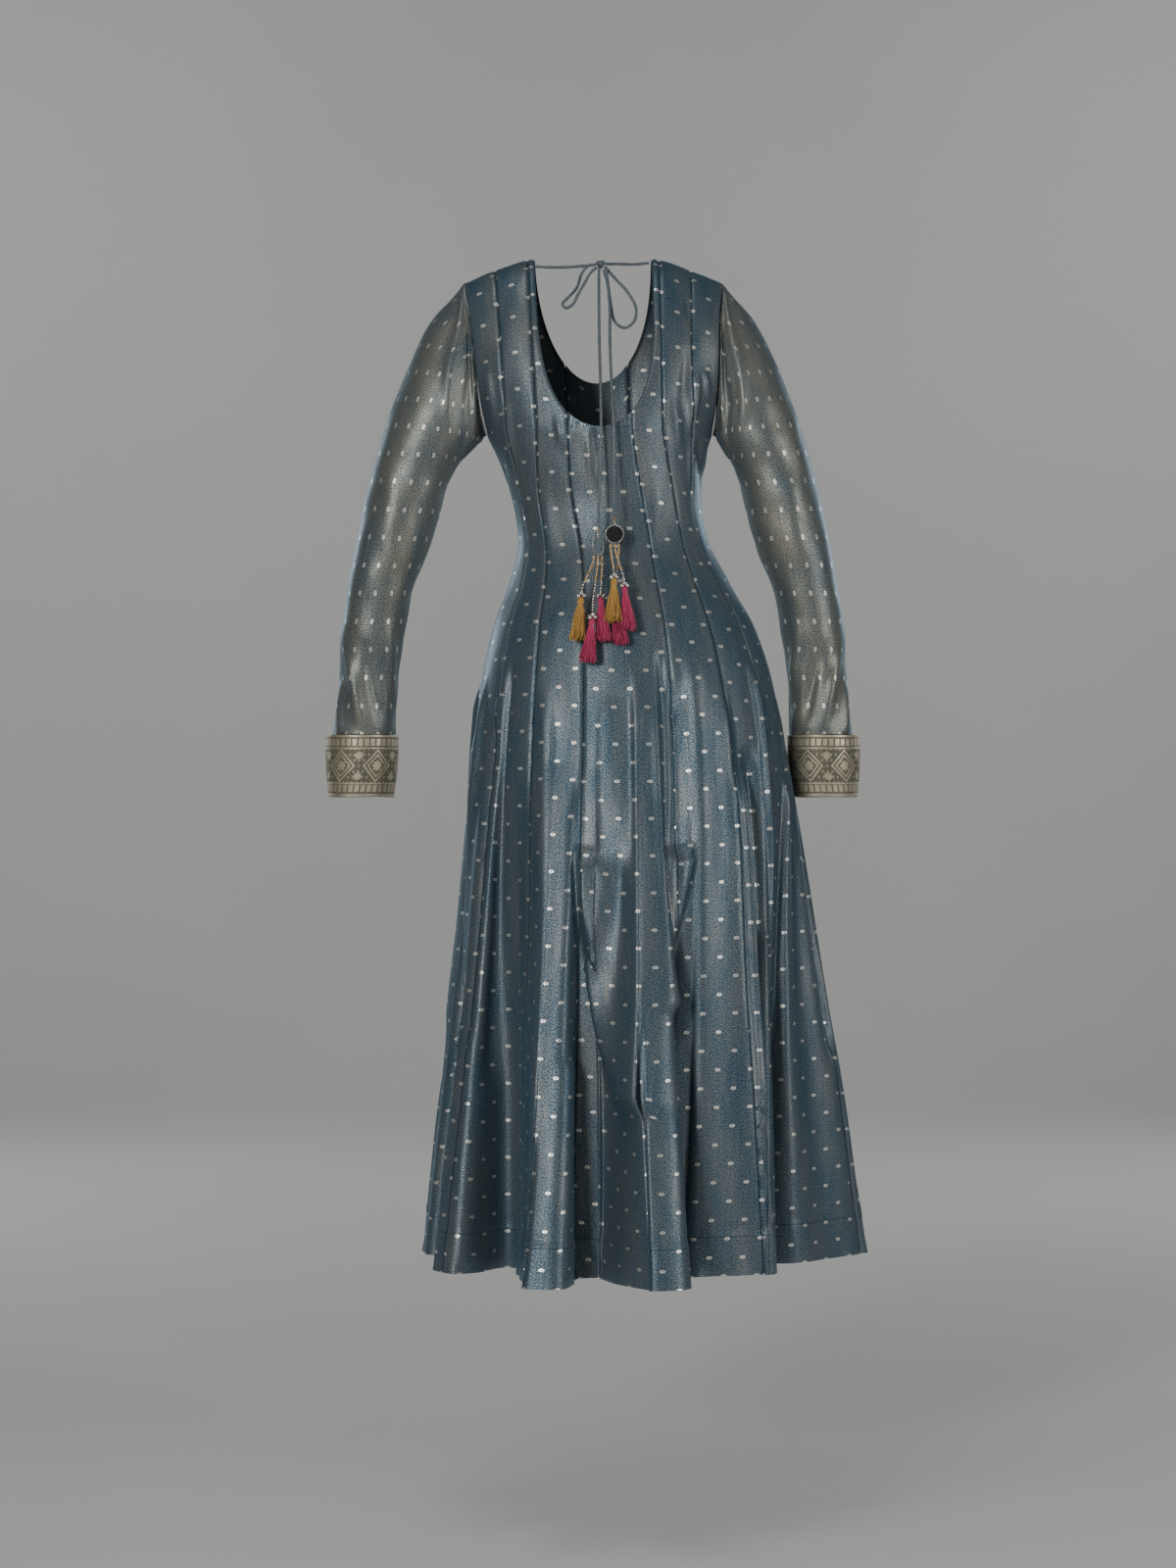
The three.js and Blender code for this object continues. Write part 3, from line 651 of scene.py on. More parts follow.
def form_normal(angle, level):
    near = min(level, BELOW_RIDGE)
    rise = 1.0 if near > 0 else 0.004
    across = form_point(angle + 0.5, near) - form_point(angle - 0.5, near)
    up = form_point(angle, near + rise) - form_point(angle, near - (0.004 if near <= rise else 1.0))
    normal = across.cross(up)
    if level > BELOW_RIDGE:
        normal.y = 0
    return normal.normalized()


def fold_share(along):
    """How much of its height a fold has, part of the way along it."""
    rise = min(1.0, along / FOLD_FADE, (1 - along) / FOLD_FADE)
    return rise * rise * (3 - 2 * rise) if rise > 0 else 0.0


def skirt_fold(angle, z):
    """What the lesser folds of the skirt add at an angle and level."""
    total = 0.0
    per_degree = smooth_at(FORM, "half", z) * math.pi / 180
    for row in SKIRT_FOLDS:
        (a0, z0), (a1, z1) = row["start"], row["end"]
        along = (z - z0) / (z1 - z0)
        if along <= 0 or (along >= 1 and z1 > -1.15):
            continue
        off = (angle - (a0 + (a1 - a0) * along) + 180) % 360 - 180
        off *= per_degree
        reach = row["left"] if off < 0 else row["right"]
        if abs(off) < 3 * reach:
            share = fold_share(min(along, 1 - FOLD_FADE) if z1 < -1.15 else along)
            total += row["rise"] * share * math.exp(-((off / reach) ** 2))
    return total


def bodice_fold(point, side):
    total = 0.0
    for row in BODICE_FOLDS:
        if row["side"] != side:
            continue
        (x0, z0), (x1, z1) = row["start"], row["end"]
        along = (point.z - z0) / (z1 - z0)
        if 0 < along < 1:
            off = point.x - (x0 + (x1 - x0) * along)
            if abs(off) < 3 * row["width"]:
                total += row["rise"] * math.sin(math.pi * along) * math.exp(-((off / row["width"]) ** 2))
    return total


HEM_TURN = 0.046  # width of the hem that is turned up and stitched
HEM_RIPPLE = 0.03  # how far up from its edge the hem ripples
SEAM_DIP = 0.0016
SEAM_REACH = 0.0028  # how far from a seam the cloth dips towards it
FITTED_TO = -0.35  # the level down to which the gown is fitted


def cloth_point(angle, level, seam_away):
    """A point of the dressed cloth: the form, with its lesser folds, the dip along a seam and the hem."""
    point = form_point(angle, level)
    side = "back" if math.cos(math.radians(angle)) >= 0 else "front"
    out = bodice_fold(point, side)
    if level < 0:
        out += skirt_fold(angle, point.z)
        hem_up = point.z - HEM_Z
        loose = min(1.0, max(0.0, (FITTED_TO - point.z) / 0.35))
        out += 0.0022 * loose * noise.noise(Vector((point.x * 24, point.y * 24, point.z * 5)))
        out += 0.0012 * (1 - loose) * noise.noise(Vector((point.x * 40, point.y * 40, point.z * 12)))
        if hem_up < HEM_TURN:
            out += 0.0006
        out -= 0.0011 * math.exp(-(((hem_up - HEM_TURN) / 0.004) ** 2))
        if hem_up < HEM_RIPPLE:
            ripple = noise.noise(Vector((point.x * 30, point.y * 30, 3.0)))
            out += 0.004 * ripple * (1 - hem_up / HEM_RIPPLE) ** 2
    else:
        out += 0.0012 * noise.noise(Vector((point.x * 40, point.y * 40, point.z * 14)))
    pucker = 1 + 0.5 * noise.noise(Vector((angle * 0.05, 7.0, point.z * 55)))
    out -= SEAM_DIP * pucker * math.exp(-((seam_away / SEAM_REACH) ** 2))
    return point + form_normal(angle, level) * out


def seam_angle(seam, level):
    if level <= 0:
        return smooth_at(SEAMS, seam, ARMPIT_Z + level)
    start = FORM[0]["half"] * math.sin(math.radians(SEAMS[0][seam]))
    end = SEAM_AT_SHOULDER.get(seam, start)
    return angle_at(start + (end - start) * math.sin(math.radians(level)), level)


def angle_at(distance, row):
    return math.degrees(math.asin(min(1.0, distance / yoke(row)[0])))


def neck_angle(side, row):
    sunk = min(1.0, -ARMPIT_Z * (1 - math.sin(math.radians(row))) / NECK[side]["depth"])
    return angle_at(NECK_HALF * math.sqrt(1 - sunk ** NECK[side]["down"]), row)


def neck_row(side, angle):
    """The yoke row at which the neckline comes out as far as an angle, given for each row."""
    low, high = 0.0, 90.0
    for _ in range(40):
        row = (low + high) / 2
        if neck_angle(side, row) <= angle(row):
            low = row
        else:
            high = row
    return low


def armhole_angle(row):
    return 90 - 32 * abs(math.sin(math.radians(2 * row))) ** 0.6


CORNER = {side: neck_row(side, lambda row: seam_angle("inner", row)) for side in NECK}
KALI_EDGES = {
    "neck": (
        lambda level, side: neck_angle(side, level) if level > CORNER[side] else seam_angle("inner", level),
        lambda level, side: seam_angle("middle", level),
    ),
    "shoulder": (
        lambda level, side: seam_angle("middle", level),
        lambda level, side: seam_angle("outer", level),
    ),
    "side": (
        lambda level, side: seam_angle("outer", level),
        lambda level, side: armhole_angle(level) if level > 0 else 90.0,
    ),
}
KALI_COLUMNS = {"back": 50, "front": 30}
ROWS_BELOW = {"back": 200, "front": 150}  # rows from the hem to the armpits
ROWS_ABOVE = {"back": 60, "front": 44}  # rows of the yoke
SEAM_DRAW = 0.45  # how closely columns crowd towards the seams
KALI_WALL = 0.0010
MEAN_HALF_WIDTH = 0.18  # of the gown, to tell a kali's width from its angles


def crowd(share):
    """Moves evenly spaced columns closer together at both edges."""
    return share * (1 - SEAM_DRAW) + SEAM_DRAW * (0.5 - 0.5 * math.cos(math.pi * share))


def kali_rows(side):
    below = [(HEM_Z - ARMPIT_Z) * (1 - k / ROWS_BELOW[side]) for k in range(ROWS_BELOW[side] + 1)]
    return below, [90 * k / ROWS_ABOVE[side] for k in range(1, ROWS_ABOVE[side] + 1)]


def kali(name, side, spans):
    """A panel from its rows, each from one edge's angle to the other's, at a level or a level by angle."""
    spots = []
    for start, end, level in spans:
        columns = KALI_COLUMNS[side]
        width = math.radians(abs(end - start)) * MEAN_HALF_WIDTH
        line = []
        for k in range(columns + 1):
            share = crowd(k / columns)
            angle = start + (end - start) * share
            height = level(angle) if callable(level) else level
            line.append(cloth_point(angle, height, width * min(share, 1 - share)))
        spots.append(line)
    panel = lay_grid(name + "_cloth", spots)
    width = widest(spots)
    middle = len(spots[0]) // 2
    length = sum((q[middle] - p[middle]).length for p, q in zip(spots, spots[1:]))

    def flat(area):
        return width, max(length * 1.03, area / width)

    finish_cloth(panel, name, "gown_cloth", gown_tissue, KALI_WALL, flat)


def widest(spots):
    return max(sum((q - p).length for p, q in zip(row, row[1:])) for row in spots)


def finish_cloth(piece, node, slot, material, wall, flat):
    """Gives a cloth piece its wall and material, and declares what it was cut from."""
    solid = piece.modifiers.new("wall", "SOLIDIFY")
    solid.thickness = wall
    solid.offset = -1
    piece.data.materials.append(material)
    area = sum(face.area for face in piece.data.polygons)
    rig.sheet(piece, flat=flat(area), held="hung", area=area)
    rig.replaces(piece, node)
    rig.slot(piece, slot)


# Butis: small woven motifs in silver, in a half-drop repeat along the grain: an oval with an open middle.
butis, given, made = new_group(
    "Butis", {"Cloth": None, "Across": 0.020, "Along": 0.0437, "Drop": 0.5, "Wide": 0.0033, "Tall": 0.0019},
    ["Silver", "Bright"],
)
parts = butis.nodes.new("ShaderNodeSeparateXYZ")
butis.links.new(given["Cloth"], parts.inputs[0])
across, along = parts.outputs["X"], parts.outputs["Y"]
column = calc(butis, "ROUND", calc(butis, "DIVIDE", across, given["Across"]))
off_x = calc(butis, "SUBTRACT", across, calc(butis, "MULTIPLY", column, given["Across"]))
dropped = calc(butis, "MULTIPLY", column, given["Drop"])
place = calc(butis, "ADD", calc(butis, "DIVIDE", along, given["Along"]), dropped)
line = calc(butis, "ROUND", place)
off_y = calc(butis, "MULTIPLY", calc(butis, "SUBTRACT", place, line), given["Along"])
rough = wire(butis, "TexNoise", given["Cloth"], None, 1500.0, 1.0, out=0)
ragged = calc(butis, "MULTIPLY", calc(butis, "SUBTRACT", rough, 0.5), 0.4)
away_x, away_y = (
    calc(butis, "POWER", calc(butis, "ABSOLUTE", calc(butis, "DIVIDE", off, given[reach])), 2.4)
    for off, reach in ((off_x, "Wide"), (off_y, "Tall"))
)
away = calc(butis, "ADD", calc(butis, "SQRT", calc(butis, "ADD", away_x, away_y)), ragged)
oval = ramp(butis, away, 1.08, 0.92)
open_middle = ramp(butis, away, 0.16, 0.34, 0.2, 1.0)
cell = wire(butis, "CombineXYZ", column, line, 0.0)
lot = wire(butis, "TexWhiteNoise", cell, out=0, noise_dimensions="3D")
butis.links.new(calc(butis, "MULTIPLY", oval, open_middle), made["Silver"])
butis.links.new(calc(butis, "MULTIPLY_ADD", lot, 0.5, 0.5), made["Bright"])

LINING_Z = -0.431  # the lining's lower edge
SILVER = (0.80, 0.78, 0.72, 1)
DULL_SILVER = (0.42, 0.40, 0.34, 1)


def tissue_material(name, metal, weft, buti, lining=0.0, hem_line_shade=0.0):
    """Tissue cloth with butis: the silk shows where the metal weft does not. The shade of the grooves along the
    seams and the hem's stitching line is painted in, near black and without metal, and the cloth is paler down to the
    edge of its lining."""
    material, tree, shader = new_material(
        name, Sheen_Weight=0.18, Sheen_Roughness=0.35, Specular_IOR_Level=0.4,
    )
    shader.inputs["Sheen Tint"].default_value = (0.15, 0.45, 0.7, 1)
    shader.inputs["Specular Tint"].default_value = (0.12, 0.42, 0.68, 1)
    grain = wire(tree, "UVMap")
    level = wire(tree, "SeparateXYZ", wire(tree, "TexCoord", out=3), out=2)
    metal_shown = ramp(tree, level, LINING_Z - 0.001, LINING_Z + 0.001, metal, metal + lining)
    threads = use_group(tree, tissue, Cloth=grain, Metal=metal_shown)
    motif = use_group(tree, butis, Cloth=grain, **buti)
    cloth = mix_colour(tree, threads["Weft"], WARP, weft)
    to_edge = wire(tree, "SeparateXYZ", wire(tree, "UVMap", uv_map="Edge"))
    # Painted shade: the grooves along the seams are painted near black.
    seam = ramp(tree, to_edge, 0.0019, 0.0004, 0.0, 0.75)
    up_cloth = wire(tree, "SeparateXYZ", grain, out=1)
    to_hem = calc(tree, "ABSOLUTE", calc(tree, "SUBTRACT", up_cloth, HEM_TURN))
    # Painted shade: the dip along the hem's stitching line is painted dark.
    stitch_line_shade = ramp(tree, to_hem, 0.0012, 0.0003, 0.0, hem_line_shade)
    # dark carries the painted shade of the seams and the stitching line; there the weft also loses its metal.
    dark = calc(tree, "MAXIMUM", seam, stitch_line_shade)
    cloth = mix_colour(tree, dark, cloth, (0.002, 0.010, 0.016, 1))
    thread_colour = mix_colour(tree, motif["Bright"], DULL_SILVER, SILVER)
    colour = mix_colour(tree, motif["Silver"], cloth, thread_colour)
    weft_metal = calc(tree, "MULTIPLY", threads["Weft"], 0.85)
    weft_metal = calc(tree, "MULTIPLY", weft_metal, calc(tree, "SUBTRACT", 1, dark))
    metallic = calc(tree, "MAXIMUM", weft_metal, calc(tree, "MULTIPLY", motif["Silver"], 0.75))
    roughness = ramp(tree, motif["Silver"], 0.0, 1.0, 0.42, 0.34)
    height = calc(tree, "MULTIPLY_ADD", threads["Height"], 0.8, motif["Silver"])
    bump = wire(tree, "Bump", 0.4, 0.0005, None, height)
    feed(tree, shader, Base_Color=colour, Metallic=metallic, Roughness=roughness, Normal=bump)
    return material


gown_tissue = tissue_material("gown_tissue", 0.30, WEFT, {}, lining=0.04, hem_line_shade=0.45)

for side in ("back", "front"):
    below, above = kali_rows(side)
    for part, (inner, outer) in KALI_EDGES.items():
        for hand, label in ((1, "right"), (-1, "left")):
            spans = []
            for level in below + above:
                edges = [inner(level, side), outer(level, side)]
                if side == "front":
                    edges = [180 - angle for angle in edges]
                spans.append((*sorted(hand * angle for angle in edges), level))
            kali(f"{side}_{part}_kali_{label}", side, spans)
    centre = 0 if side == "back" else 180
    edges = [(seam_angle("inner", level), level) for level in below]
    spans = [(centre - edge, centre + edge, level) for edge, level in edges]
    reach = seam_angle("inner", CORNER[side])
    steps = 2 if side == "back" else 14

    def neckline(share):
        def level(angle):
            away = abs(math.sin(math.radians(angle - centre)))
            return share * neck_row(side, lambda row: math.degrees(math.asin(away)))
        return level

    for k in range(1, steps + 1):
        share = k / steps
        edge = seam_angle("inner", CORNER[side] * share)
        spans.append((centre - edge, centre + edge, neckline(share)))
    kali(f"{side}_centre_kali", side, spans)

# ---- Sleeves ----
# Long one-piece sleeves of the same tissue, unlined, set into the armholes and closed by an underarm seam.
# The cloth is cut across, so the butis stand along the arm.

SLEEVE = rows(("outer", "inner", "depth", "forward"), [
    ((0.170, -0.046), (0.149, -0.216), 0.045, 0.003),
    ((0.198, -0.079), (0.153, -0.223), 0.050, 0.003),
    ((0.222, -0.130), (0.159, -0.233), 0.052, 0.003),
    ((0.244, -0.184), (0.168, -0.246), 0.051, 0.004),
    ((0.260, -0.234), (0.175, -0.264), 0.048, 0.006),
    ((0.275, -0.288), (0.182, -0.294), 0.046, 0.008),
    ((0.288, -0.350), (0.197, -0.346), 0.043, 0.012),
    ((0.297, -0.402), (0.217, -0.396), 0.040, 0.017),
    ((0.305, -0.455), (0.229, -0.457), 0.038, 0.024),
    ((0.308, -0.512), (0.237, -0.512), 0.037, 0.032),
    ((0.316, -0.571), (0.239, -0.571), 0.039, 0.040),
])
SLEEVE_AROUND = 72
SLEEVE_STEPS = 20  # rings between two sections
SLEEVE_WALL = 0.0007

# Folds of a sleeve, by the turn round the arm from the top through the back, and the section.
SLEEVE_FOLDS = rows(("start", "end", "rise", "width"), [
    ((43, 9.3), (92, 10.9), 0.0055, 11),
    ((78, 9.0), (128, 10.8), -0.0060, 13),
    ((18, 9.9), (52, 11.2), 0.0040, 10),
    ((118, 8.6), (160, 10.4), 0.0035, 12),
    ((30, -0.6), (112, 3.2), 0.0060, 11),
    ((70, -0.5), (128, 2.2), -0.0055, 9),
    ((100, -0.4), (150, 2.4), 0.0045, 8),
    ((140, 0.2), (165, 4.2), 0.0040, 9),
    ((160, 0.6), (182, 4.6), -0.0035, 8),
    ((60, 5.0), (100, 7.6), 0.0022, 16),
    ((200, 0.4), (240, 4.4), 0.0045, 10),
    ((250, -0.4), (296, 3.0), 0.0045, 12),
    ((230, 8.4), (280, 10.8), 0.0050, 13),
    ((290, 8.8), (335, 11.0), -0.0045, 13),
])


def armhole_point(turn, hand):
    """The armhole's edge, by the turn from the shoulder through the back to the armpit and up the front."""
    back = turn <= 180
    row = 90 * (1 - turn / 180) if back else 90 * (turn / 180 - 1)
    angle = armhole_angle(row) if row > 0 else 90.0
    point = form_point(hand * (angle if back else 180 - angle), row)
    return point + Vector((hand * 0.0008, 0, 0))


def sleeve_section(row, turn, hand, shift=0.0):
    outer = Vector((hand * row["outer"][0], row["forward"], row["outer"][1]))
    inner = Vector((hand * row["inner"][0] + shift, row["forward"], row["inner"][1]))
    around = math.radians(turn)
    point = (outer + inner) / 2 + (outer - inner) / 2 * math.cos(around)
    point.y -= row["depth"] * math.sin(around)
    return point


def through(points, where):
    """A point on the smooth curve through a list of points, where 0 is the first."""
    k = min(int(where), len(points) - 2)
    t = where - k
    before, start = points[max(k - 1, 0)], points[k]
    end, after = points[k + 1], points[min(k + 2, len(points) - 1)]
    leave, arrive = (end - before) / 2, (after - start) / 2
    return between(t, start, leave, end, arrive)


def sleeve_fold(turn, where):
    total = 0.0
    for row in SLEEVE_FOLDS:
        (a0, s0), (a1, s1) = row["start"], row["end"]
        along = (where - s0) / (s1 - s0)
        if 0 < along < 1:
            off = (turn - (a0 + (a1 - a0) * along) + 180) % 360 - 180
            total += row["rise"] * math.sin(math.pi * along) * math.exp(-((off / row["width"]) ** 2))
    return total


def sleeve(hand, label):
    shift = 2 * FORM[0]["middle"] if hand < 0 else 0.0
    lines = []
    for j in range(SLEEVE_AROUND + 1):
        turn = (180 + 360 * j / SLEEVE_AROUND) % 360
        sections = [armhole_point(turn, hand)]
        for k, row in enumerate(SLEEVE):
            sections.append(sleeve_section(row, turn, hand, shift * max(0.0, 1 - k / 5)))
        lines.append(sections)
    middles = [sum((line[k] for line in lines[:-1]), Vector()) / SLEEVE_AROUND for k in range(len(lines[0]))]
    spots = []
    rings = len(SLEEVE) * SLEEVE_STEPS
    for k in range(rings + 1):
        where = len(SLEEVE) * (1 - k / rings)
        middle = through(middles, where)
        ring = []
        for j, line in enumerate(lines):
            turn = (180 + 360 * j / SLEEVE_AROUND) % 360
            point = through(line, where)
            fixed = min(1.0, where / 0.4, (len(SLEEVE) - where) / 0.3 + 0.25)
            out = sleeve_fold(turn, where) + 0.0016 * noise.noise(point * 30)
            out -= 0.0012 * math.exp(-(((abs(turn - 180)) / 3.0) ** 2))
            ring.append(point + (point - middle).normalized() * out * fixed)
        ring[-1] = ring[0].copy()
        spots.append(ring if hand > 0 else ring[::-1])
    piece = lay_grid(f"sleeve_{label}_cloth", [row[::-1] for row in spots], closed=True, own_lengths=True)
    round_top = widest(spots)
    length = sum((q[0] - p[0]).length for p, q in zip(spots, spots[1:]))

    def flat(area):
        return round_top, max(length, area / round_top) * 1.02

    finish_cloth(piece, f"sleeve_{label}", "gown_cloth", sleeve_tissue, SLEEVE_WALL, flat)


SLEEVE_BUTIS = {"Across": 0.020, "Along": 0.0345, "Drop": 0.0, "Wide": 0.0019, "Tall": 0.0032}
SLEEVE_WEFT = (0.40, 0.35, 0.25, 1)
sleeve_tissue = tissue_material("sleeve_tissue", 0.42, SLEEVE_WEFT, SLEEVE_BUTIS)
for hand, label in ((1, "right"), (-1, "left")):
    sleeve(hand, label)

# ---- Cuffs ----
# A straight band of zari brocade, doubled, sewn over the end of each sleeve: a row of blocks, a broad row of
# lozenges with flowers, another row of blocks, and a picot edge.

CUFF = rows(("outer", "inner", "depth", "forward"), [
    ((0.324, -0.572), (0.236, -0.572), 0.043, 0.040),
    ((0.325, -0.608), (0.237, -0.608), 0.043, 0.042),
    ((0.322, -0.646), (0.242, -0.646), 0.040, 0.044),
])
CUFF_AROUND = 180
CUFF_RINGS = 26
CUFF_WALL = 0.0022

zari, given, made = new_group("Zari band", {"Cloth": None}, ["Metal", "Gold"])
parts = zari.nodes.new("ShaderNodeSeparateXYZ")
zari.links.new(given["Cloth"], parts.inputs[0])
u, v = parts.outputs["X"], parts.outputs["Y"]


def repeat(tree, value, period):
    """Distance from the middle of the nearest repeat."""
    turns = calc(tree, "DIVIDE", value, period)
    return calc(tree, "MULTIPLY", calc(tree, "SUBTRACT", turns, calc(tree, "ROUND", turns)), period)


def band(tree, value, low, high, soft=0.0003):
    rise = ramp(tree, value, low - soft, low + soft)
    return calc(tree, "MULTIPLY", rise, ramp(tree, value, high + soft, high - soft))


def either(tree, *masks):
    total = masks[0]
    for mask in masks[1:]:
        total = calc(tree, "MAXIMUM", total, mask)
    return total


LOZENGE = 0.046  # one repeat of the lozenges
MAIN_LOW, MAIN_HIGH = 0.0165, 0.0575  # the broad row, from the cuff's lower edge
BLOCK_ROWS = (0.0095, 0.0655)
RULES = ((0.0, 0.0030), (0.0146, 0.0165), (0.0575, 0.0594), (0.0716, 0.0745))
off_u = repeat(zari, u, LOZENGE)
off_v = calc(zari, "SUBTRACT", v, (MAIN_LOW + MAIN_HIGH) / 2)


def diamond(tree, x, y, wide, tall):
    """Distance from a point, as a share of the way out to the edge of a lozenge round it."""
    share_x = calc(tree, "DIVIDE", calc(tree, "ABSOLUTE", x), wide)
    return calc(tree, "ADD", share_x, calc(tree, "DIVIDE", calc(tree, "ABSOLUTE", y), tall))


size = diamond(zari, off_u, off_v, 0.0185, 0.0205)
outer_ring = band(zari, size, 0.84, 1.0, 0.02)
inner_ring = band(zari, size, 0.56, 0.70, 0.02)
lozenges = either(zari, outer_ring, inner_ring, ramp(zari, size, 0.16, 0.12))


def flower(tree, x, y, radius):
    """Eight petals round a point."""
    turn = calc(tree, "ARCTAN2", y, x)
    squares = [calc(tree, "POWER", calc(tree, "ABSOLUTE", off), 2.0) for off in (x, y)]
    far = calc(tree, "SQRT", calc(tree, "ADD", *squares))
    petal = calc(tree, "ABSOLUTE", calc(tree, "COSINE", calc(tree, "MULTIPLY", turn, 4.0)))
    edge = calc(tree, "MULTIPLY", calc(tree, "MULTIPLY_ADD", petal, 0.45, 0.55), radius)
    return ramp(tree, calc(tree, "SUBTRACT", edge, far), 0.0, 0.0006)


inner_flower = flower(zari, off_u, off_v, 0.0072)
side_u = repeat(zari, calc(zari, "ADD", u, LOZENGE / 2), LOZENGE)
side_v = calc(zari, "SUBTRACT", calc(zari, "ABSOLUTE", off_v), 0.0125)
side_flower = flower(zari, side_u, side_v, 0.0058)
in_row = band(zari, v, MAIN_LOW, MAIN_HIGH)
lozenge_row = calc(zari, "MULTIPLY", either(zari, lozenges, inner_flower, side_flower), in_row)
small = diamond(zari, repeat(zari, u, 0.00575), repeat(zari, off_v, 0.0068), 0.0029, 0.0034)
filling = calc(zari, "MULTIPLY", ramp(zari, size, 1.1, 1.2), in_row)
filling = calc(zari, "MULTIPLY", ramp(zari, small, 0.62, 0.50, 0.0, 0.7), filling)
block_wide = ramp(zari, calc(zari, "ABSOLUTE", repeat(zari, u, 0.0075)), 0.0030, 0.0026)
blocks = []
for middle in BLOCK_ROWS:
    off_row = calc(zari, "ABSOLUTE", calc(zari, "SUBTRACT", v, middle))
    blocks.append(calc(zari, "MULTIPLY", block_wide, ramp(zari, off_row, 0.0046, 0.0040)))
rules = [band(zari, v, low, high) for low, high in RULES]
shown = either(zari, lozenge_row, filling, *blocks, *rules)
worn = wire(zari, "TexNoise", given["Cloth"], None, 900.0, 2.0, 0.6)
shown = calc(zari, "MULTIPLY", shown, ramp(zari, worn, 0.30, 0.52, 0.35, 1.0))
zari.links.new(shown, made["Metal"])
zari.links.new(wire(zari, "TexNoise", given["Cloth"], None, 60.0, 2.0, 0.5), made["Gold"])

brocade, tree, shader = new_material("zari_brocade", Sheen_Weight=0.1)
grain = wire(tree, "UVMap")
pattern = use_group(tree, zari, Cloth=grain)
ground = use_group(tree, tissue, Cloth=grain, Metal=0.30)
ground_colour = mix_colour(tree, ground["Weft"], (0.050, 0.056, 0.048, 1), (0.26, 0.22, 0.14, 1))
metal_colour = mix_colour(tree, pattern["Gold"], (0.60, 0.56, 0.45, 1), (0.47, 0.39, 0.24, 1))
bump = wire(tree, "Bump", 0.6, 0.0006, None, pattern["Metal"])
feed(
    tree, shader,
    Base_Color=mix_colour(tree, pattern["Metal"], ground_colour, metal_colour),
    Metallic=calc(tree, "MULTIPLY_ADD", pattern["Metal"], 0.6, 0.25),
    Roughness=ramp(tree, pattern["Metal"], 0.0, 1.0, 0.55, 0.36),
    Normal=bump,
)


def cuff(hand, label):
    spots = []
    for k in range(CUFF_RINGS + 1):
        where = 2 * (1 - k / CUFF_RINGS)
        ring = []
        for j in range(CUFF_AROUND + 1):
            turn = 360 * j / CUFF_AROUND
            point = through([sleeve_section(row, turn, hand) for row in CUFF], where)
            if k == 0:
                point.z -= 0.0011 * abs(math.sin(math.radians(turn * 30)))
            point.z += 0.0012 * noise.noise(Vector((point.x * 20, point.y * 20, 0.0)))
            ring.append(point)
        ring[-1] = ring[0].copy()
        spots.append(ring[::-1] if hand > 0 else ring)
    piece = lay_grid(f"cuff_{label}_brocade", spots, closed=True)
    round_cuff = widest(spots)

    def flat(area):
        return round_cuff, area / round_cuff * 1.03

    finish_cloth(piece, f"cuff_{label}", "cuff_brocade", brocade, CUFF_WALL, flat)


for hand, label in ((1, "right"), (-1, "left")):
    cuff(hand, label)

# ---- Latkans ----
# The beaded tassels at the dori's ends: small copper beads, a silver one, a round mirror in a beaded metal
# rim, three strings of seed beads, and silk tassels that are tied on below clusters of silver beads.

LATKAN_TILT = 7
TASSEL = {"head": 0.0040, "neck": 0.15, "skirt": 0.0100, "length": 0.052, "threads": 96, "thread": 0.00058}
TIE_BEADS = 10  # beads round a tassel's neck
TIE_RADIUS = 0.0024
TASSEL_BEADS = [  # x, y and z from a tassel's top, and radius
    (-0.0034, -0.0010, 0.0012, 0.0031), (0.0034, -0.0012, 0.0018, 0.0029),
    (0.0002, -0.0032, 0.0042, 0.0031), (0.0004, 0.0030, 0.0010, 0.0027),
]
LATKANS = {
    "left": {
        "at": (0.0056, -0.1082, -0.3306), "turn": 52,
        "tassels": [
            {"x": -0.0195, "forward": 0.006, "drop": 0.084, "tilt": -5},
            {"x": -0.0065, "forward": 0.010, "drop": 0.110, "tilt": -6},
            {"x": 0.0035, "forward": 0.004, "drop": 0.084, "tilt": 4},
        ],
    },
    "right": {
        "at": (0.0252, -0.1092, -0.3171), "turn": 0,
        "tassels": [
            {"x": -0.0008, "forward": 0.014, "drop": 0.077, "tilt": -1},
            {"x": 0.0115, "forward": 0.008, "drop": 0.086, "tilt": 5},
            {"x": 0.0005, "forward": 0.0, "drop": 0.101, "tilt": 8},
        ],
    },
}
STEM_LENGTH = 0.010
MIRROR_RADIUS = 0.011
RIM_BEADS = 44
STRINGS_X = (-0.005, 0.0, 0.005)
SEEDS_LENGTH = 0.031
SEED_RADIUS = 0.0017
SEED_STEP = 0.0021
LARGE_RADIUS = 0.0019
LARGE_STEP = 0.0034


def plain_metal(name, colour, roughness):
    """Bead metal, a little darker where it has tarnished."""
    material, tree, shader = new_material(name, Metallic=1.0, Roughness=roughness)
    where = wire(tree, "TexCoord", out=3)
    spots = wire(tree, "TexNoise", where, None, 900.0, 2.0, 0.5)
    dark = tuple(c * 0.55 for c in colour) + (1,)
    feed(tree, shader, Base_Color=mix_colour(tree, ramp(tree, spots, 0.35, 0.6), dark, (*colour, 1)))
    return material


copper = plain_metal("copper_bead", (0.80, 0.56, 0.30), 0.3)
silver_bead = plain_metal("silver_bead", (0.75, 0.72, 0.68), 0.2)


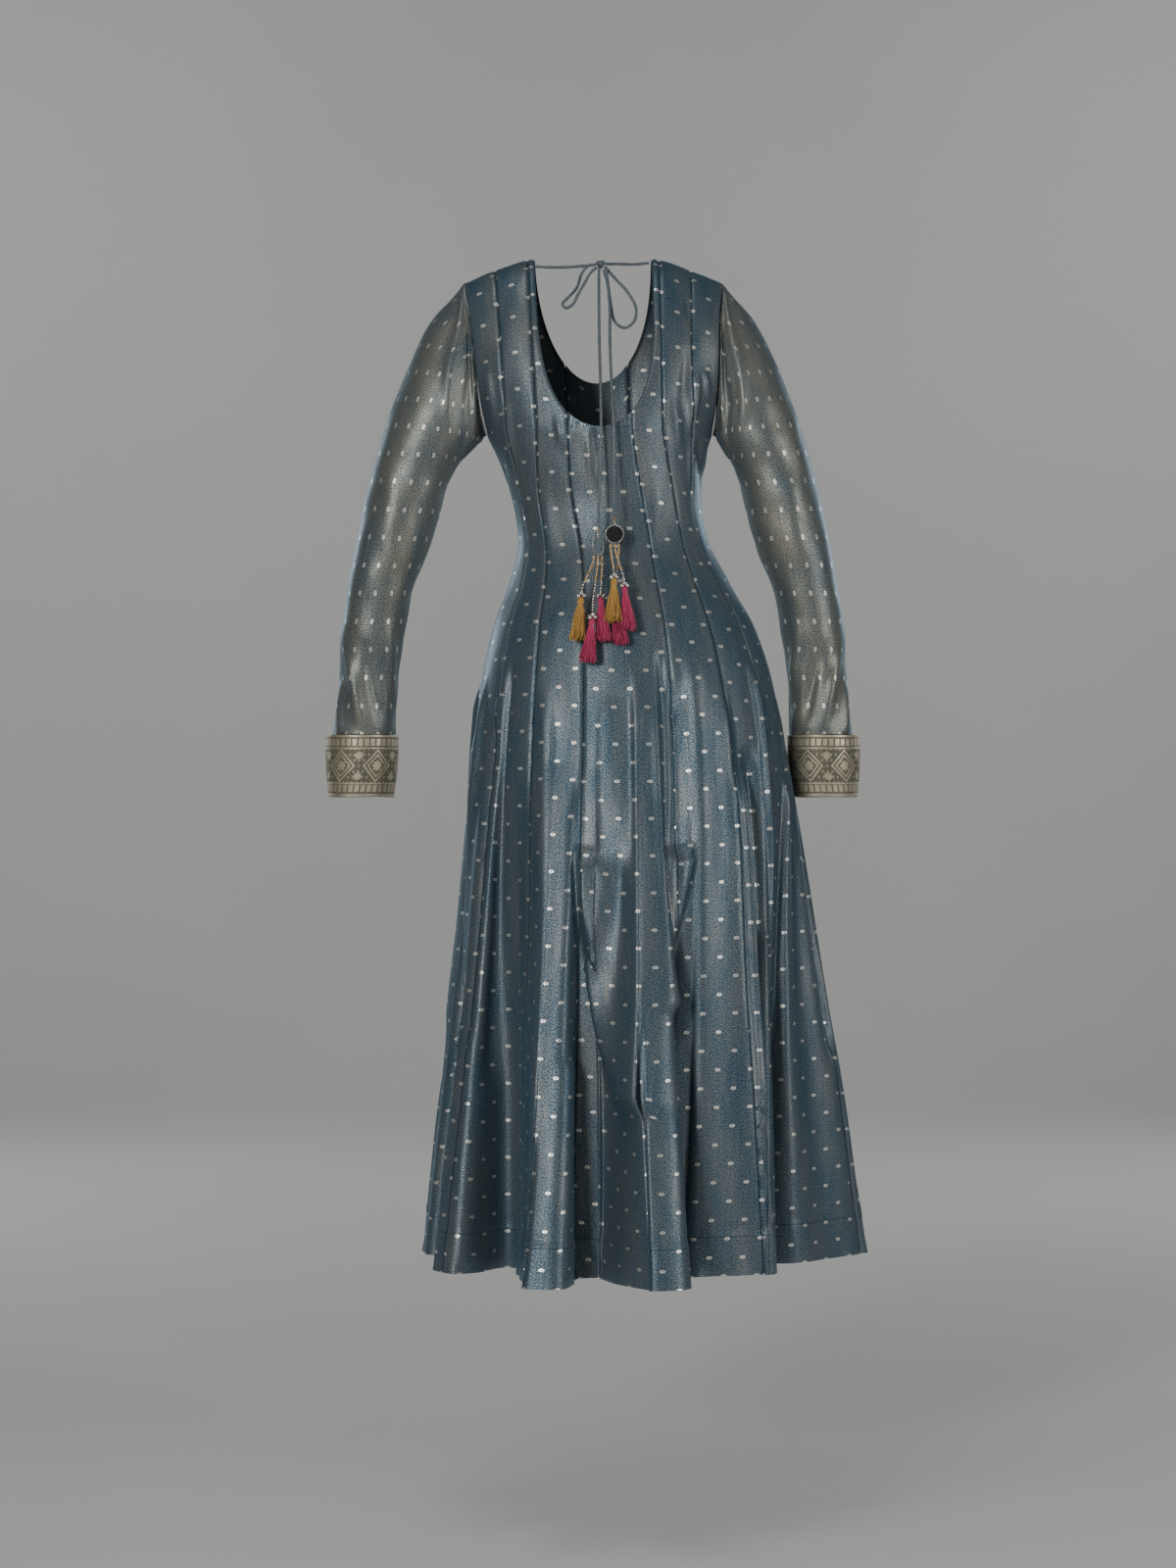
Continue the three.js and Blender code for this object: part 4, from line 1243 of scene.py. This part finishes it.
def mirror_material(name, dark, pale, metallic):
    """Thin mirror glass, scratched and a little spotted, with a painted reflection in its colour, from a dark to a
    pale tone.
    """
    material, tree, shader = new_material(name, Metallic=metallic, Roughness=0.14, Coat_Weight=0.3)
    scratches = wire(tree, "TexNoise", wire(tree, "TexCoord", out=3), None, 500.0, 3.0, 0.6)
    feed(tree, shader, Base_Color=mix_colour(tree, scratches, (*dark, 1), (*pale, 1)))
    return material


# Each mirror's colour is a painted reflection: a pale blue one on the left mirror, a dark one on the right.
MIRRORS = {
    "left": mirror_material("pale_mirror", (0.22, 0.32, 0.38), (0.50, 0.62, 0.68), 0.6),
    "right": mirror_material("dark_mirror", (0.010, 0.011, 0.012), (0.05, 0.055, 0.06), 0.3),
}


def thread_material(name, colour):
    """Twisted silk thread with painted highlights for the crests of its twist and painted shade between them, placed
    at random along and between the threads.
    """
    material, tree, shader = new_material(name, Roughness=0.6, Sheen_Weight=0.4, Sheen_Roughness=0.4)
    grain = wire(tree, "UVMap")
    painted_twist_light = wire(tree, "TexNoise", grain, None, 900.0, 2.0, 0.5)
    # Painted light: dark is the silk's colour in painted shade, pale its colour in a painted highlight.
    dark = tuple(c * 0.35 for c in colour) + (1,)
    pale = tuple(min(1.0, c * 1.3) for c in colour) + (1,)
    feed(tree, shader, Base_Color=mix_colour(tree, ramp(tree, painted_twist_light, 0.3, 0.7), dark, pale))
    return material


TASSEL_SILK = [
    thread_material("mustard_silk", (0.56, 0.31, 0.06)),
    thread_material("magenta_silk", (0.56, 0.035, 0.13)),
]


def hang(plan, x, y, z):
    """A latkan's own point, turned by its tilt and carried to its place."""
    tilt = math.radians(-LATKAN_TILT)
    return Vector(plan["at"]) + Vector((
        x, y * math.cos(tilt) - z * math.sin(tilt), y * math.sin(tilt) + z * math.cos(tilt),
    ))


def add_bead(shape, centre, radius, squash=1.0, material=0):
    made = bmesh.ops.create_uvsphere(shape, u_segments=12, v_segments=8, radius=radius)["verts"]
    for v in made:
        v.co = centre + Vector((v.co.x, v.co.y, v.co.z * squash))
    for face in {f for v in made for f in v.link_faces}:
        face.smooth = True
        face.material_index = material


def beads(name, spots, material):
    """One piece of many round beads: (centre, radius, squash along the string)."""
    shape = bmesh.new()
    for spot in spots:
        add_bead(shape, *spot)
    piece = as_object(name, shape)
    piece.data.materials.append(material)
    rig.slot(piece, "beads")
    return piece


def tassel(name, plan, row, silk):
    """A skein of threads, tied at its neck and cut off roughly evenly, with the beads that it hangs from."""
    shape = bmesh.new()
    dice = random.Random(name)
    lean = math.tan(math.radians(row["tilt"]))

    def place(x, y, z):
        return hang(plan, row["x"] + x - lean * z, -row["forward"] + y, -row["drop"] + z)

    neck, head = TASSEL["neck"], TASSEL["head"]
    uv = shape.loops.layers.uv.new("UVMap")
    for k in range(TASSEL["threads"]):
        around = 2 * math.pi * k * 0.618
        out = math.sqrt((k + 0.5) / TASSEL["threads"]) * dice.uniform(0.92, 1.06)
        length = TASSEL["length"] * dice.uniform(0.88, 1.0)
        waver, sway = dice.uniform(0, 6.28), dice.uniform(0.0003, 0.0011)
        made = bmesh.ops.create_grid(shape, x_segments=5, y_segments=11, size=1)["verts"]
        for v in made:
            turn, t = math.pi * (v.co.x + 1), (v.co.y + 1) / 2
            if t < neck:
                wide = head * (0.45 + 0.55 * math.sin(math.pi * t / neck))
            else:
                wide = head * 0.5 + (TASSEL["skirt"] - head * 0.5) * ((t - neck) / (1 - neck)) ** 0.7
            wave = sway * math.sin(waver + 8 * t) * t
            x = out * wide * math.cos(around) + wave + TASSEL["thread"] * math.cos(turn)
            y = out * wide * math.sin(around) + wave * 0.6 + TASSEL["thread"] * math.sin(turn)
            v.co = place(x, y, -length * t)
        for face in {f for v in made for f in v.link_faces}:
            face.smooth = True
            for corner in face.loops:
                corner[uv].uv = (k * 0.37, corner.vert.co.z)
    bmesh.ops.remove_doubles(shape, verts=shape.verts, dist=1e-6)
    tie = []
    for k in range(TIE_BEADS):
        around = 2 * math.pi * k / TIE_BEADS
        x, y = TIE_RADIUS * math.cos(around), TIE_RADIUS * math.sin(around)
        tie.append((x, y, -neck * TASSEL["length"], 0.0009))
    for x, y, z, radius in [*tie, *TASSEL_BEADS]:
        add_bead(shape, place(x, y, z), radius, material=1)
    piece = as_object(name + "_threads", shape)
    piece.data.materials.append(silk)
    piece.data.materials.append(silver_bead)
    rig.replaces(piece, name)
    return piece


def on_cord(plan, label):
    """All of one latkan's pieces."""
    hung = []
    stem = [(hang(plan, 0, 0, -0.0012 - 0.0021 * k), 0.0013, 0.8) for k in range(3)]
    piece = beads(f"latkan_{label}_copper", stem, copper)
    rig.replaces(piece, f"latkan_{label}_stem")
    hung.append(piece)
    hung.append(beads(f"latkan_{label}_silver", [(hang(plan, 0, 0, -0.0088), 0.0026, 0.75)], silver_bead))
    facing = math.radians(plan["turn"])
    centre = -STEM_LENGTH - 0.0008 - MIRROR_RADIUS

    def on_disc(far, around, front):
        across = far * math.sin(around)
        x = across * math.cos(facing) + front * math.sin(facing)
        y = across * math.sin(facing) - front * math.cos(facing)
        return hang(plan, x, y, centre + far * math.cos(around))

    disc = bmesh.new()
    bmesh.ops.create_circle(disc, cap_ends=True, segments=40, radius=1)
    bmesh.ops.solidify(disc, geom=disc.faces[:], thickness=0.25)
    for v in disc.verts:
        far, around = math.hypot(v.co.x, v.co.y) * (MIRROR_RADIUS - 0.0012), math.atan2(v.co.x, v.co.y)
        v.co = on_disc(far, around, v.co.z * 0.006)
    bmesh.ops.recalc_face_normals(disc, faces=disc.faces[:])
    glass = as_object(f"latkan_{label}_glass", disc)
    glass.data.materials.append(MIRRORS[label])
    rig.replaces(glass, f"latkan_{label}_mirror")
    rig.slot(glass, "mirror_glass")
    hung.append(glass)
    turns = [2 * math.pi * k / RIM_BEADS for k in range(RIM_BEADS)]
    rim = [(on_disc(MIRROR_RADIUS - 0.0006, turn, 0.0008), 0.00085) for turn in turns]
    hung.append(beads(f"latkan_{label}_rim", rim, silver_bead))
    top = centre - MIRROR_RADIUS - 0.0006
    for k, (x, row) in enumerate(zip(STRINGS_X, plan["tassels"]), 1):
        piece = tassel(f"latkan_{label}_tassel_{k}", plan, row, TASSEL_SILK[0 if k == 1 else 1])
        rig.slot(piece, "tassel_mustard" if k == 1 else "tassel_magenta")
        bead_string(f"latkan_{label}_string_{k}", plan, (x, top), row, piece)
    return hung


def bead_string(name, plan, start, row, piece_below):
    """Seed beads and then larger silver ones on a thread, from the mirror down to a tassel's top."""
    x, z = start
    end = -row["drop"] + 0.0015
    spots, line, gone = [], [], 0.0012
    while z - gone > end:
        t = gone / (z - end)
        ease = t * t * (3 - 2 * t)
        centre = hang(plan, x + (row["x"] - x) * ease, -row["forward"] * ease, z - gone)
        line.append(centre)
        seed = gone < SEEDS_LENGTH
        spots.append((centre, SEED_RADIUS if seed else LARGE_RADIUS, 0.85))
        gone += SEED_STEP if seed else LARGE_STEP
    piece = beads(name + "_beads", spots, copper)
    piece.data.materials.append(silver_bead)
    faces_each = len(piece.data.polygons) // len(spots)
    for face in piece.data.polygons:
        bead = face.index // faces_each
        face.material_index = 1 if bead % 4 == 3 or bead * SEED_STEP > SEEDS_LENGTH else 0
    length = sum((q - p).length for p, q in zip(line, line[1:]))
    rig.replaces(piece, name)
    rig.cord(
        piece, exit=tuple(line[0]), length=length, diameter=2 * SEED_RADIUS, far_end="fitting",
        stiffness="limp", lay="hanging", path=[tuple(p) for p in line], with_pieces=[piece_below],
    )


latkans = {label: on_cord(plan, label) for label, plan in LATKANS.items()}

# The six stretches of the dori as cords: each starts at the neckline or the knot.
for name, (tube, line, length) in dori_pieces.items():
    hangs = latkans[name.rsplit("_", 1)[1]] if "tail" in name else []
    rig.cord(
        tube, exit=tuple(line[0]), length=length, diameter=DORI_THICK,
        far_end="fitting" if "tail" in name else "object", stiffness="limp",
        lay="hanging" if "tail" in name else "loose", path=[tuple(p) for p in line], with_pieces=hangs,
    )

# ---- Studio ----
# A plain grey floor that sweeps up behind, and broad soft lamps: one to the left of the camera, a weaker
# one to the right, one overhead, two that reach the gown's front, and two on the backdrop.

FLOOR_Z = -1.52
backdrop, tree, shader = new_material("backdrop", Roughness=0.9)
paper = wire(tree, "TexNoise", wire(tree, "TexCoord", out=3), None, 1.5, 2.0, 0.5)
feed(tree, shader, Base_Color=mix_colour(tree, paper, (0.66, 0.66, 0.65, 1), (0.70, 0.70, 0.69, 1)))

sweep = bmesh.new()
bmesh.ops.create_grid(sweep, x_segments=1, y_segments=40, size=1)
for v in sweep.verts:
    t = (v.co.y + 1) / 2
    if t < 0.5:
        place = (-9 + 28 * t, 0)
    elif t < 0.8:
        turn = (t - 0.5) / 0.3 * math.pi / 2
        place = (5 + 1.5 * math.sin(turn), 1.5 - 1.5 * math.cos(turn))
    else:
        place = (6.5, 1.5 + (t - 0.8) * 25)
    v.co = Vector((v.co.x * 9, place[0], FLOOR_Z + place[1]))
for face in sweep.faces:
    face.smooth = True
sweep_mesh = bpy.data.meshes.new("backdrop")
sweep.to_mesh(sweep_mesh)
sweep.free()
sweep_piece = bpy.data.objects.new("backdrop", sweep_mesh)
bpy.context.scene.collection.objects.link(sweep_piece)
sweep_mesh.materials.append(backdrop)
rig.stage(sweep_piece)

LAMPS = {
    "key": {"at": (-1.6, -4.0, 0.1), "size": 0.7, "power": 84, "aim": (0, 0, -0.95)},
    "fill": {"at": (3.0, -2.2, -0.3), "size": 1.0, "power": 40, "aim": (0, 0, -0.8)},
    "top": {"at": (-0.4, -0.9, 1.9), "size": 1.0, "power": 14, "aim": (0, 0, -0.4)},
    "front_left": {"at": (-3.0, 3.4, 0.4), "size": 1.0, "power": 34, "aim": (0, 0, -0.6)},
    "front_right": {"at": (3.0, 3.4, 0.4), "size": 1.0, "power": 34, "aim": (0, 0, -0.6)},
    "backdrop_left": {"at": (-2.6, 3.9, 1.6), "size": 1.6, "power": 26, "aim": (-0.6, 6.5, 0.2)},
    "backdrop_right": {"at": (2.6, 3.9, 1.6), "size": 1.6, "power": 26, "aim": (0.6, 6.5, 0.2)},
}
for name, lamp in LAMPS.items():
    light = bpy.data.lights.new(name, "AREA")
    light.size = lamp["size"]
    light.energy = lamp["power"]
    holder = bpy.data.objects.new(name, light)
    holder.location = lamp["at"]
    aim = Vector(lamp["aim"]) - holder.location
    holder.rotation_euler = aim.to_track_quat("-Z", "Y").to_euler()
    bpy.context.scene.collection.objects.link(holder)

world = bpy.data.worlds.new("studio")
world.use_nodes = True
world.node_tree.nodes["Background"].inputs["Color"].default_value = (0.72, 0.72, 0.71, 1)
world.node_tree.nodes["Background"].inputs["Strength"].default_value = 0.085
bpy.context.scene.world = world

shown_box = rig.bounds()
with open("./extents.json", "w") as file:
    json.dump({"cad": [list(c) for c in cad_box], "visual": [list(c) for c in shown_box]}, file)
